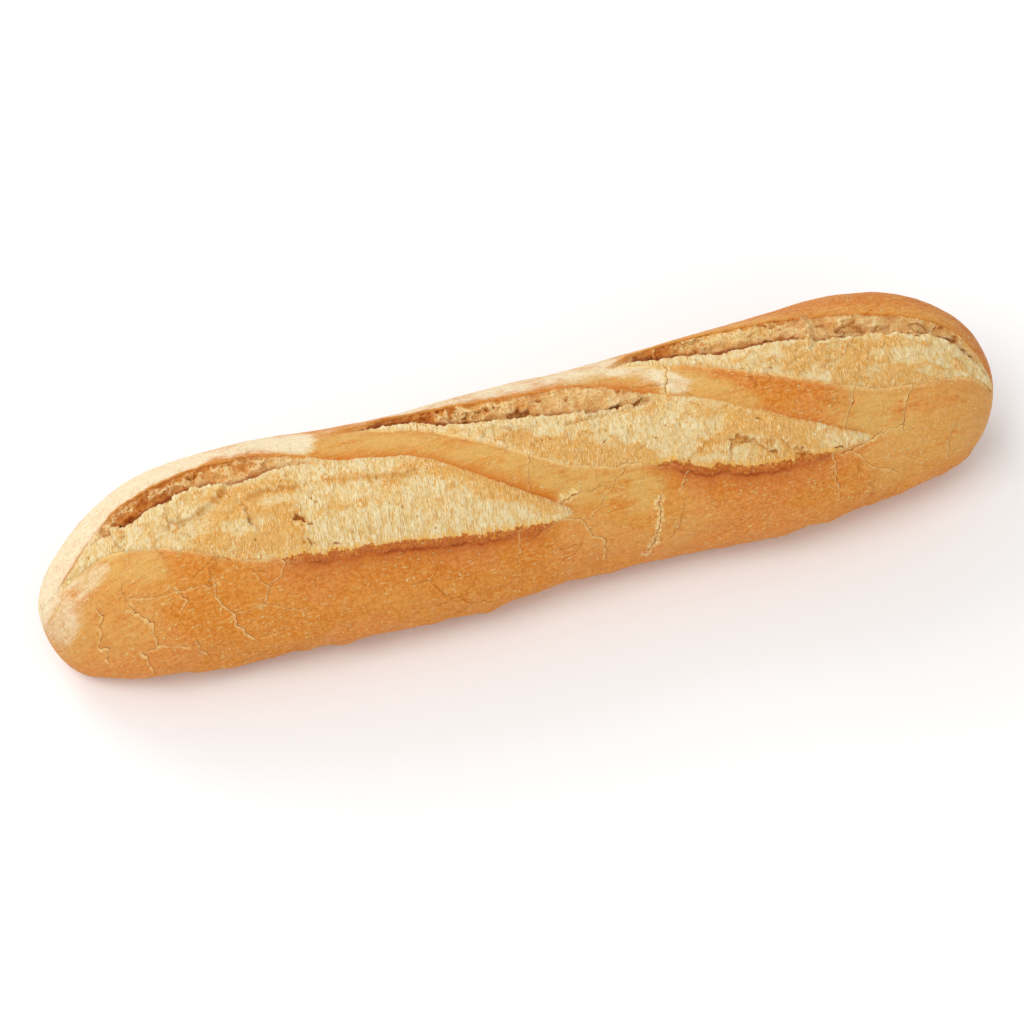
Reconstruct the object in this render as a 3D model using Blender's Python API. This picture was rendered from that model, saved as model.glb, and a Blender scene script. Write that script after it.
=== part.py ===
"""A short baguette: one solid loaf with three long slanting cuts torn open across its top.

The loaf lies along X and rests on its flat base, +Z up, with the origin under the middle of its
footprint. The functions work in millimetres, and the mesh is in metres.

A point of the skin has two coordinates: its station, x along the loaf, and its girth, the distance
round the section from the top line, positive towards the near side (-Y). The cuts are drawn in
those two coordinates, and their relief is added along the skin's normal.
"""

from dataclasses import dataclass

import bpy
import numpy as np

METRE = 0.001  # one millimetre, in metres

# Driving sizes of the loaf
LENGTH = 320.0
HALF_WIDTH = 35.0
HEIGHT = 54.6
WIDEST_AT = 0.42  # height of the widest line, as a share of the section's height
TIP_AT = 0.42  # height of the two tips, as a share of the loaf's height
CROWN_POWER = 2.15  # superellipse exponent of the section above its widest line
FOOT_POWER = 2.5  # and below it
FOOT_OVERSHOOT = 1.10  # how far the lower curve would run on, past the flat base

# How the rolled dough swells and bends: station, share of the driving sizes, sideways shift
SWELL = (
    (-160.0, 0.84, 0.5),
    (-120.0, 0.96, 3.4),
    (-80.0, 1.00, 1.5),
    (-40.0, 0.99, -1.7),
    (0.0, 0.98, -0.3),
    (40.0, 0.975, -0.3),
    (80.0, 1.03, -1.6),
    (120.0, 1.025, 0.5),
    (160.0, 1.06, -3.7),
)

# The rounded ends: length at the left tip, length at the right tip, superellipse exponent
WIDTH_ROUNDING = (46.0, 58.0, 2.1)
TOP_ROUNDING = (79.0, 34.0, 2.0)
FOOT_ROUNDING = (13.0, 23.0, 2.2)

# Relief of a cut, along the normal
EAR_LIFT = 2.6  # the torn far rim above the skin
EAR_REACH = 7.0  # how far that lift runs back from the rim
CREVICE_DEPTH = 5.0  # under the rim, below the skin
CREVICE_OPENING = 3.0  # from the rim down to the bottom of the crevice
CREVICE_RISE = 8.0  # from there up to the crown of the torn crumb
CREVICE_FADE = 16.0  # length over which each end of a crevice runs out
CRUMB_CROWN = 1.4  # swell of the torn crumb above the skin
CRUMB_SINK = 1.3  # how far its two edges lie below the crust beside them
BRIDGE_LIFT = 1.5  # the strip of crust left standing between two cuts
BRIDGE_REACH = 5.0
LIP_LIFT = 1.3  # the crust pushed up along the later half of the near edge
LIP_REACH = 4.0
STEP_WIDTH = 3.0  # over which the crumb's edge meets the crust
FULL_WIDTH = 9.0  # width at which a cut reaches its full relief

# How the mesh is spread over the skin
TIP_ZONE = 14.0
TIP_STATIONS = 7
BODY_STATIONS = 90
RIM_OFFSETS = (11.0, 8.5, 6.0, 3.0, 1.4, 0.0, -2.0, -5.0, -9.0, -14.0)  # columns beside the far rims
FULL_GIRTH = 82.0  # girth of the side of a full section, for which those offsets hold
SCORED_SHARE = 0.48  # of the near side's girth is scored
SCORED_COLUMNS = 20  # over the torn crumb, down to there
SIDE_COLUMNS = 7  # on each side, below the scored top
SECTION_STEPS = 361


@dataclass(frozen=True)
class Cut:
    """One cut: its two torn edges as (station, girth) points, and where its far side hangs open."""

    far_edge: tuple
    near_edge: tuple
    crevice: tuple  # first and last station


CUTS = (
    Cut(
        far_edge=((-156, 2), (-146, -3), (-136, -10), (-120, -14.5), (-98, -16.5), (-76, -13.5),
                  (-62, -8), (-34, -2), (-18, 10), (0, 23), (10, 30)),
        near_edge=((-156, 2), (-138, 1), (-113, 11), (-95, 20), (-78, 23.5), (-45, 25), (-12, 30),
                   (10, 30)),
        crevice=(-158, -62),
    ),
    Cut(
        far_edge=((-58, -21.5), (-28, -20.5), (0, -15.5), (24, -12), (38, -5), (60, 5), (80, 17),
                  (110, 33)),
        near_edge=((-58, -21.5), (-36, -15.5), (-12, 0), (6, 12.5), (38, 21), (62, 29), (110, 33)),
        crevice=(-60, 34),
    ),
    Cut(
        far_edge=((36, -20), (58, -23), (80, -20.5), (100, -15.5), (124, -7), (146, -2), (157, 4)),
        near_edge=((36, -20), (56, -11.5), (90, 6.5), (112, 17), (140, 18), (157, 10)),
        crevice=(34, 157),
    ),
)


def curve(x, points):
    """A smooth curve through the points (station, value): a cubic whose slopes are central differences."""
    xs, ys = np.array(points, dtype=float).T
    slopes = np.gradient(ys, xs)
    x = np.clip(x, xs[0], xs[-1])
    i = np.clip(np.searchsorted(xs, x) - 1, 0, len(xs) - 2)
    step = xs[i + 1] - xs[i]
    t = (x - xs[i]) / step
    start = (1 + 2 * t) * (1 - t) ** 2 * ys[i] + t * (1 - t) ** 2 * step * slopes[i]
    return start + t * t * (3 - 2 * t) * ys[i + 1] - t * t * (1 - t) * step * slopes[i + 1]


def ease(t):
    """From 0 to 1 with level ends."""
    t = np.clip(t, 0.0, 1.0)
    return t * t * (3 - 2 * t)


def rounding(x, ends):
    """The loaf's taper at station x: 0 at the tips, 1 once past both rounded ends."""
    left, right, power = ends
    taper = 1.0
    for inset, length in ((x + LENGTH / 2, left), (LENGTH / 2 - x, right)):
        u = np.clip(1 - inset / length, 0.0, 1.0)
        taper = taper * (1 - u**power) ** (1 / power)
    return taper


def cut_relief(cut, x, girth):
    """Height of one cut above the skin at station x, for an array of girths.

    Across the cut, from far to near: crust that lifts towards the torn rim, a steep wall down into
    the crevice, a rise to the crown of the crumb, and a small step up to the near crust.
    """
    first, last = cut.far_edge[0][0], cut.far_edge[-1][0]
    far, near = curve(x, cut.far_edge), curve(x, cut.near_edge)
    width = max(near - far, 0.0) if first < x < last else 0.0
    strength = ease(width / FULL_WIDTH)
    begin, end = cut.crevice
    hang = ease((x - begin) / CREVICE_FADE) * ease((end - x) / CREVICE_FADE)
    inset = girth - far  # into the cut, from its far rim
    beyond = girth - near  # out of the cut, past its near edge

    ear = hang * EAR_LIFT + (1 - hang) * BRIDGE_LIFT
    ear_reach = hang * EAR_REACH + (1 - hang) * BRIDGE_REACH
    later = ease((x - 0.5 * (first + last)) / (0.2 * (last - first)) + 0.5)
    lip = later * LIP_LIFT + (1 - later) * 0.3 * BRIDGE_LIFT
    crust = ear * np.exp(np.minimum(inset, 0) / ear_reach) * (inset < 0.5 * width)
    crust += lip * np.exp(-np.maximum(beyond, 0) / LIP_REACH) * (inset >= 0.5 * width)

    across = np.clip(inset / np.maximum(width, STEP_WIDTH), 0.0, 1.0)
    crumb = (CRUMB_CROWN + CRUMB_SINK) * np.sin(np.pi * across) - CRUMB_SINK
    rise = ease((inset - CREVICE_OPENING) / np.clip(0.6 * width, STEP_WIDTH, CREVICE_RISE))
    crumb -= hang * (1 - rise) * CREVICE_DEPTH
    far_step = hang * CREVICE_OPENING + (1 - hang) * STEP_WIDTH
    inside = ease(inset / far_step) * ease(-beyond / STEP_WIDTH)
    return strength * ((1 - inside) * crust + inside * crumb)


def section(x):
    """The plain section at station x, without its cuts.

    Gives the points y, z from the near edge of the flat base over the top to its far edge, and each
    point's girth.
    """
    share = curve(x, [(s, size) for s, size, _ in SWELL])
    shift = curve(x, [(s, side) for s, _, side in SWELL])
    half = HALF_WIDTH * share * rounding(x, WIDTH_ROUNDING)
    height = HEIGHT * share
    tip = TIP_AT * height
    top = tip + (height - tip) * rounding(x, TOP_ROUNDING)
    foot = tip * (1 - rounding(x, FOOT_ROUNDING))
    widest = foot + WIDEST_AT * (top - foot)
    dip = FOOT_OVERSHOOT * (widest - foot)
    lowest = -np.arcsin((1 / FOOT_OVERSHOOT) ** (FOOT_POWER / 2))
    angle = np.linspace(lowest, np.pi - lowest, SECTION_STEPS)
    power = np.where(np.sin(angle) > 0, CROWN_POWER, FOOT_POWER)
    out = np.sign(np.cos(angle)) * np.abs(np.cos(angle)) ** (2 / power)
    up = np.sign(np.sin(angle)) * np.abs(np.sin(angle)) ** (2 / power)
    y = shift - half * out
    z = widest + np.where(up > 0, (top - widest) * up, dip * up)
    z[[0, -1]] = foot
    run = np.concatenate([[0.0], np.cumsum(np.hypot(np.diff(y), np.diff(z)))])
    girth = run[SECTION_STEPS // 2] - run
    return y, z, girth


def columns(x, girth):
    """Girths of the mesh's columns at station x, near to far: they follow the open far rims."""
    near, far = girth[0], girth[-1]
    scale = near / FULL_GIRTH
    line = [(s, g) for cut in CUTS for s, g in cut.far_edge if cut.crevice[0] < s < cut.crevice[1]]
    rim = scale * curve(x, line) + scale * np.array(RIM_OFFSETS)
    near_side = np.linspace(near, SCORED_SHARE * near, SIDE_COLUMNS, endpoint=False)
    crumb = np.linspace(SCORED_SHARE * near, rim[0], SCORED_COLUMNS, endpoint=False)
    far_side = np.linspace(rim[-1], far, SIDE_COLUMNS + 1)[1:]
    return np.concatenate([near_side, crumb, rim, far_side])


def ring(x):
    """One ring of the mesh: the section with the relief of the cuts along its normal."""
    y, z, girth = section(x)
    at = columns(x, girth)
    ys, zs = np.interp(-at, -girth, y), np.interp(-at, -girth, z)
    tangent_y, tangent_z = np.gradient(y, -girth), np.gradient(z, -girth)
    out_y, out_z = -np.interp(-at, -girth, tangent_z), np.interp(-at, -girth, tangent_y)
    lift = sum(cut_relief(cut, x, at) for cut in CUTS)
    lift[[0, -1]] = 0.0
    return np.column_stack([np.full_like(at, x), ys + lift * out_y, zs + lift * out_z])


def stations():
    """Stations of the rings: evenly spaced, and closing up like a quarter circle at each tip."""
    quarter = 0.5 * np.pi * np.arange(1, TIP_STATIONS + 1) / TIP_STATIONS
    inset = TIP_ZONE * (1 - np.cos(quarter))
    half = LENGTH / 2
    body = np.linspace(-half + TIP_ZONE, half - TIP_ZONE, BODY_STATIONS)[1:-1]
    return np.concatenate([-half + inset, body, (half - inset)[::-1]])


def loaf_mesh():
    """The loaf's closed mesh: rings joined by quads, a fan at each tip, a flat strip underneath."""
    rings = np.array([ring(x) for x in stations()])
    count, around = rings.shape[:2]
    tips = []
    for end, nearest in ((-LENGTH / 2, rings[0]), (LENGTH / 2, rings[-1])):
        tips.append([end, nearest[:, 1].mean(), 0.5 * (nearest[:, 2].min() + nearest[:, 2].max())])
    points = np.concatenate([rings.reshape(-1, 3), tips])
    middle = 0.5 * (points.min(axis=0) + points.max(axis=0))
    points -= [middle[0], middle[1], points[:, 2].min()]

    left, right = count * around, count * around + 1
    faces = []
    for j in range(around):
        k = (j + 1) % around
        faces.append((left, j, k))
        faces.append((right, (count - 1) * around + k, (count - 1) * around + j))
        faces.extend((i * around + j, (i + 1) * around + j, (i + 1) * around + k, i * around + k)
                     for i in range(count - 1))
    mesh = bpy.data.meshes.new("loaf")
    mesh.from_pydata((points * METRE).tolist(), [], faces)
    mesh.shade_smooth()
    mesh.set_sharp_from_angle(angle=np.radians(50))
    return mesh


def crust_material():
    """Baked crust: light golden brown, dull."""
    material = bpy.data.materials.new("crust")
    material.use_nodes = True
    shader = material.node_tree.nodes["Principled BSDF"]
    shader.inputs["Base Color"].default_value = (0.68, 0.27, 0.065, 1.0)
    shader.inputs["Roughness"].default_value = 0.55
    shader.inputs["Metallic"].default_value = 0.0
    return material


def main():
    for old in list(bpy.data.objects):
        bpy.data.objects.remove(old, do_unlink=True)
    mesh = loaf_mesh()
    mesh.materials.append(crust_material())
    loaf = bpy.data.objects.new("loaf", mesh)
    bpy.context.scene.collection.objects.link(loaf)


main()
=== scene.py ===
"""The looks of a short baguette: a baked crust with three long cuts torn open across its top, and
the torn crumb that swelled out of each cut.

Everything is drawn on one unrolled skin. A point of it has a station, x along the loaf, and a
girth, the distance round the section from the top line, positive towards the near side (-Y).
Heights are measured from the skin along its normal. Formulas use millimetres, and meshes metres.
"""

from __future__ import annotations

import logging
import math
from dataclasses import dataclass
from enum import Enum

import bpy
import numpy as np
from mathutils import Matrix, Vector
from numpy.typing import NDArray


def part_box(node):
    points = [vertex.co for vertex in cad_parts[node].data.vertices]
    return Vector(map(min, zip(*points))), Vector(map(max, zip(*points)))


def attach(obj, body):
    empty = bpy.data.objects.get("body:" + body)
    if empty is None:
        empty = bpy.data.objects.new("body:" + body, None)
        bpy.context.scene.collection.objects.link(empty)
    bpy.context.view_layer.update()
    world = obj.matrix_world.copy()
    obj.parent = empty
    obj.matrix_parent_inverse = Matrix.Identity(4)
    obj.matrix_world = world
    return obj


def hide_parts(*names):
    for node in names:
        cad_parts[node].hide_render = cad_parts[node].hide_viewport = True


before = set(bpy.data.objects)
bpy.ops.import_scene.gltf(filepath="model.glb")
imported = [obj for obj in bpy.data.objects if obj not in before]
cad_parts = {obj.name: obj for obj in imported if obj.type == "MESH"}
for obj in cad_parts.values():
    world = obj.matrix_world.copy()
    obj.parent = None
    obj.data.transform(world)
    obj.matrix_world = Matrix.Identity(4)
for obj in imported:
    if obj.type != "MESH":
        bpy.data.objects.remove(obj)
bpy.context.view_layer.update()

Field = NDArray[np.float64]
METRE = 0.001  # one millimetre, in metres
NODE = "loaf"
BODY = "root"
log = logging.getLogger("baguette")


# ---------------------------------------------------------------------------- uneven surfaces


HASH_FACTORS = (0x9E3779B1, 0x85EBCA6B, 0xC2B2AE35)
SMALLEST_FIT = 0.15  # share of its full size below which no relief shrinks


def scatter(cell: NDArray[np.int64], salt: int) -> NDArray[np.uint32]:
    """Mixes whole-number coordinates into one evenly spread 32-bit number for each cell.

    Formula: each coordinate times its own large odd number is folded in by exclusive or, and every
    fold is stirred by shifts and multiplications.

    Args:
        cell: whole-number coordinates, the last axis holding 2 or 3 of them.
        salt: picks one of many unrelated patterns.

    Returns:
        One number for each cell.
    """
    mixed = np.full(cell.shape[:-1], (salt * 7919 + 13) & 0xFFFFFFFF, dtype=np.uint32)
    for axis in range(cell.shape[-1]):
        mixed ^= cell[..., axis].astype(np.uint32) * np.uint32(HASH_FACTORS[axis])
        mixed ^= mixed >> np.uint32(15)
        mixed *= np.uint32(0x2C1B3C6D)
        mixed ^= mixed >> np.uint32(12)
        mixed *= np.uint32(0x297A2D39)
        mixed ^= mixed >> np.uint32(15)
    return mixed


def rolling(points: Field, size: float | tuple[float, ...], salt: int) -> Field:
    """Gradient noise: smooth hills and hollows from about -1 to 1.

    Formula: every corner of the cell round a point has a random slope, and the heights of those
    slopes at the point are blended with quintic weights.

    Args:
        points: places, the last axis holding their 2 or 3 coordinates.
        size: width of a hill, one number or one for each coordinate.
        salt: picks the pattern.

    Returns:
        The height at each place.
    """
    place = points / np.asarray(size, dtype=float)
    corner = np.floor(place)
    part = place - corner
    fade = part**3 * (part * (part * 6 - 15) + 10)
    cell = corner.astype(np.int64)
    total = np.zeros(place.shape[:-1])
    for step in np.ndindex(*(2,) * place.shape[-1]):
        bits = scatter(cell + np.array(step), salt)
        weight = np.ones_like(total)
        slope = np.zeros_like(total)
        for axis, ahead in enumerate(step):
            weight *= fade[..., axis] if ahead else 1 - fade[..., axis]
            tilt = ((bits >> np.uint32(10 * axis)) & np.uint32(1023)) / 511.5 - 1
            slope += tilt * (part[..., axis] - ahead)
        total += weight * slope
    return 1.7 * total


def layered(points: Field, size: float | tuple[float, ...], layers: int, salt: int) -> Field:
    """Rolling noise with finer noise on it, each layer half as wide and half as strong as the last.

    Args:
        points: places, the last axis holding their coordinates.
        size: width of the widest hills.
        layers: how many layers are added up.
        salt: picks the pattern.

    Returns:
        The height at each place, from about -1 to 1.
    """
    size = np.asarray(size, dtype=float)
    total = sum(rolling(points, size / 2**i, salt + 31 * i) / 2**i for i in range(layers))
    return total / (2 - 0.5 ** (layers - 1))


def bubbles(points: Field, size: float | tuple[float, ...], salt: int) -> tuple[Field, Field, Field]:
    """Scattered dots, one in each cell of a grid.

    Args:
        points: places, the last axis holding their 2 or 3 coordinates.
        size: width of a grid cell, one number or one for each coordinate.
        salt: picks the pattern.

    Returns:
        The distance to the nearest dot and the way from it, in cell widths, and a random number
        from 0 to 1 that belongs to the dot: distance, number, way.
    """
    place = points / np.asarray(size, dtype=float)
    cell = np.floor(place).astype(np.int64)
    nearest = np.full(place.shape[:-1], 9.0)
    number = np.zeros(place.shape[:-1])
    way = np.zeros(place.shape)
    for step in np.ndindex(*(3,) * place.shape[-1]):
        near_cell = cell + np.array(step) - 1
        bits = scatter(near_cell, salt)
        inside = [(bits >> np.uint32(9 * axis)) & np.uint32(511) for axis in range(len(step))]
        apart = place - near_cell - np.stack(inside, axis=-1) / 511
        away = np.sum(apart**2, axis=-1)
        closer = away < nearest
        nearest = np.where(closer, away, nearest)
        number = np.where(closer, (bits >> np.uint32(27)) / 31, number)
        way = np.where(closer[..., None], apart, way)
    return np.sqrt(nearest), number, way


def pairs(x: Field, girth: Field | float = 0.0) -> Field:
    """(station, girth) places, the last axis holding the two."""
    return np.stack(np.broadcast_arrays(x, girth), axis=-1)


def waver(points: Field, size: float | tuple[float, ...], salt: int) -> Field:
    """A rolling shift of places, with its own noise for each of their coordinates."""
    return np.stack([rolling(points, size, salt + k) for k in range(points.shape[-1])], axis=-1)


def hump(t: Field) -> Field:
    """A bell, 1 at 0: exp(-t^2)."""
    return np.exp(-(t**2))


def fitted(width: Field, full: float) -> Field:
    """How large a relief is drawn where it has a width: full size from a full width on."""
    return np.clip(width / full, SMALLEST_FIT, 1.0)


def ease(t: Field | float) -> Field:
    """From 0 to 1 with level ends: 3t^2 - 2t^3, held at both ends."""
    t = np.clip(t, 0.0, 1.0)
    return t * t * (3 - 2 * t)


def stretch(x: Field, start: float, end: float, fade: float) -> Field:
    """1 between two stations and 0 outside them, easing over a length inside each end."""
    return ease((x - start) / fade) * ease((end - x) / fade)


def blend(a: Field | float, b: Field | float, share: Field) -> Field:
    """a where share is 0, b where it is 1."""
    return a + (b - a) * share


# --------------------------------------------------------------------------------- the skin


@dataclass(frozen=True)
class Line:
    """A smooth line over the stations, through a few (station, value) points."""

    points: tuple[tuple[float, float], ...]

    @property
    def start(self) -> float:
        """First station."""
        return self.points[0][0]

    @property
    def end(self) -> float:
        """Last station."""
        return self.points[-1][0]

    def at(self, x: Field) -> Field:
        """The line's value: a cubic between neighbouring points, whose slopes are central differences.

        Args:
            x: stations.

        Returns:
            The value at each station, held at its end values outside the line.
        """
        xs, ys = np.array(self.points, dtype=float).T
        slopes = np.gradient(ys, xs)
        x = np.clip(x, xs[0], xs[-1])
        i = np.clip(np.searchsorted(xs, x) - 1, 0, len(xs) - 2)
        step = xs[i + 1] - xs[i]
        t = (x - xs[i]) / step
        start = (1 + 2 * t) * (1 - t) ** 2 * ys[i] + t * (1 - t) ** 2 * step * slopes[i]
        return start + t * t * (3 - 2 * t) * ys[i + 1] - t * t * (1 - t) * step * slopes[i + 1]


@dataclass(frozen=True)
class Skin:
    """The loaf's plain surface, without its cuts.

    A section is a superellipse over its widest line and another below it, cut off by the flat
    base. Its width, top and foot taper into the two tips along superellipse quarters.
    """

    length: float
    half_width: float = 35.0
    height: float = 54.6
    widest_at: float = 0.42
    tip_at: float = 0.42
    crown_power: float = 2.15
    foot_power: float = 2.5
    foot_overshoot: float = 1.10
    width_rounding: tuple[float, float, float] = (46.0, 58.0, 2.1)
    top_rounding: tuple[float, float, float] = (79.0, 34.0, 2.0)
    foot_rounding: tuple[float, float, float] = (13.0, 23.0, 2.2)
    swell: Line = Line(((-160, 0.84), (-120, 0.96), (-80, 1.00), (-40, 0.99), (0, 0.98), (40, 0.975),
                        (80, 1.03), (120, 1.025), (160, 1.06)))
    bend: Line = Line(((-160, 0.5), (-120, 3.4), (-80, 1.5), (-40, -1.7), (0, -0.3), (40, -0.3),
                       (80, -1.6), (120, 0.5), (160, -3.7)))
    steps: int = 721  # points of a section
    apart: float = 1000.0  # more than any section's girth: keeps the sections apart in one table

    def taper(self, x: Field, ends: tuple[float, float, float]) -> Field:
        """0 at the tips, 1 past the rounded ends: (1 - u^p)^(1/p), u running from 1 at a tip to 0.

        Args:
            x: stations.
            ends: length of the left rounding, length of the right one, power p.

        Returns:
            The taper at each station.
        """
        left, right, power = ends
        taper = np.ones_like(x)
        for inset, length in ((x + self.length / 2, left), (self.length / 2 - x, right)):
            u = np.clip(1 - inset / length, 0.0, 1.0)
            taper = taper * (1 - u**power) ** (1 / power)
        return taper

    def sections(self, x: Field) -> tuple[Field, Field, Field]:
        """The plain sections, from the near edge of the base over the top to its far edge.

        Args:
            x: stations, n of them.

        Returns:
            y, z and girth, each n by steps.
        """
        share = self.swell.at(x)
        height = self.height * share
        tip = self.tip_at * height
        top = (tip + (height - tip) * self.taper(x, self.top_rounding))[:, None]
        foot = (tip * (1 - self.taper(x, self.foot_rounding)))[:, None]
        half = (self.half_width * share * self.taper(x, self.width_rounding))[:, None]
        widest = foot + self.widest_at * (top - foot)
        dip = self.foot_overshoot * (widest - foot)
        lowest = -math.asin((1 / self.foot_overshoot) ** (self.foot_power / 2))
        angle = np.linspace(lowest, math.pi - lowest, self.steps)
        power = np.where(np.sin(angle) > 0, self.crown_power, self.foot_power)
        out = np.sign(np.cos(angle)) * np.abs(np.cos(angle)) ** (2 / power)
        up = np.sign(np.sin(angle)) * np.abs(np.sin(angle)) ** (2 / power)
        y = self.bend.at(x)[:, None] - half * out
        z = widest + np.where(up > 0, (top - widest) * up, dip * up)
        z[:, [0, -1]] = foot
        run = np.cumsum(np.hypot(np.diff(y, axis=1), np.diff(z, axis=1)), axis=1)
        run = np.concatenate([np.zeros_like(half), run], axis=1)
        return y, z, run[:, [self.steps // 2]] - run

    def reach(self, x: Field) -> tuple[Field, Field]:
        """Girth from the top line down to the near and to the far edge of the base."""
        girth = self.sections(x)[2]
        return girth[:, 0], -girth[:, -1]

    def place(self, x: Field, girth: Field) -> tuple[Field, Field]:
        """Points of the skin and its outward directions.

        Args:
            x: stations, n of them.
            girth: n rows of girths.

        Returns:
            Points and unit directions, each n by m by 3. A direction lies in its section's plane.
        """
        y, z, marks = self.sections(x)
        run = marks[:, :1] - marks
        rise_y = np.gradient(y, axis=1) / np.maximum(np.gradient(run, axis=1), 1e-9)
        rise_z = np.gradient(z, axis=1) / np.maximum(np.gradient(run, axis=1), 1e-9)
        row = self.apart * np.arange(len(x))[:, None]
        table = (run + row).ravel()
        wanted = np.clip(marks[:, :1] - girth, 0, run[:, -1:]) + row
        at_y, at_z, out_z, out_y = (np.interp(wanted, table, v.ravel()) for v in (y, z, rise_y, -rise_z))
        points = np.stack([np.broadcast_to(x[:, None], at_y.shape), at_y, at_z], axis=-1)
        out = np.stack([np.zeros_like(at_y), out_y, out_z], axis=-1)
        return points, out / np.maximum(np.linalg.norm(out, axis=-1, keepdims=True), 1e-9)


# --------------------------------------------------------------------------------- the cuts


@dataclass(frozen=True)
class Route:
    """A line of straight pieces on the skin, through (station, girth) points."""

    points: tuple[tuple[float, float], ...]

    def near(self, at: Field) -> tuple[Field, Field]:
        """How far places are from the line: the least over its pieces.

        Args:
            at: (station, girth) places.

        Returns:
            The distance, and the same with a minus sign on the line's right-hand side.
        """
        least = np.full(at.shape[:-1], 99.0)
        side = np.full(at.shape[:-1], 99.0)
        for a, b in zip(np.array(self.points[:-1], float), np.array(self.points[1:], float)):
            along = np.clip(((at - a) @ (b - a)) / ((b - a) @ (b - a)), 0, 1)
            apart = np.linalg.norm(at - a - along[..., None] * (b - a), axis=-1)
            across = (b[0] - a[0]) * (at[..., 1] - a[1]) - (b[1] - a[1]) * (at[..., 0] - a[0])
            side = np.where(apart < least, across / np.linalg.norm(b - a), side)
            least = np.minimum(least, apart)
        return least, side


CLIFF_EDGE = 0.35  # half the width over which a cliff steps down
CLIFF_REACH = 2.4  # distance over which it dies away on both sides


@dataclass(frozen=True)
class Fold:
    """A ridge or a tear in the crumb, along a route."""

    route: Route
    half_width: float
    rise: float  # height of the ridge
    cliff: float = 0.0  # height of one side over the other
    toast: float = 0.0  # how much more it is toasted than the crumb round it

    def relief(self, at: Field) -> Field:
        """Its height: a rounded ridge, and a step that dies away on both sides.

        Args:
            at: (station, girth) places.

        Returns:
            Heights.
        """
        apart, side = self.route.near(at)
        ridge = self.rise * hump(apart / self.half_width)
        return ridge + self.cliff * np.tanh(side / CLIFF_EDGE) * np.exp(-apart / CLIFF_REACH)

    def lit(self, at: Field) -> tuple[Field, Field]:
        """Where its cliff lies in shade, and where its brink catches the light: bands beside it.

        Args:
            at: (station, girth) places.

        Returns:
            Strength of the shade and of the light, 0 to 1.
        """
        apart, side = self.route.near(at)
        up = side * np.sign(self.cliff)
        near = min(1.2 * abs(self.cliff), 1.0) * np.exp(-np.maximum(apart - 0.8, 0) / 0.4)
        return near * hump((up + 0.5) / 0.45), near * hump((up - 0.35) / 0.35)


@dataclass(frozen=True)
class Pit:
    """A slanting hole in the crumb."""

    x: float
    girth: float
    half_length: float
    half_width: float
    slant: float  # of its long axis, in degrees from the loaf's length
    depth: float
    dark: float = 1.0  # how much painted shade darkens it inside

    def share(self, at: Field) -> Field:
        """1 inside, 0 outside, with a steep wall: it falls over elliptic distances of 0.75 to 1.2.

        Args:
            at: (station, girth) places.

        Returns:
            Shares.
        """
        turn = math.radians(self.slant)
        dx, dq = at[..., 0] - self.x, at[..., 1] - self.girth
        u = (dx * math.cos(turn) + dq * math.sin(turn)) / self.half_length
        v = (dq * math.cos(turn) - dx * math.sin(turn)) / self.half_width
        return ease((1.2 - np.hypot(u, v)) / 0.45)


FULL_WIDTH = 12.0  # width from which a cut's rim and crevice have their full size
FULL_LEDGE = 7.0  # width of a crevice from which it is fully deep
LIP_FADE = 16.0  # length over which a browned lip runs out
FLOURY_FADE = 12.0  # length over which a mealy rim runs out


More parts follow.
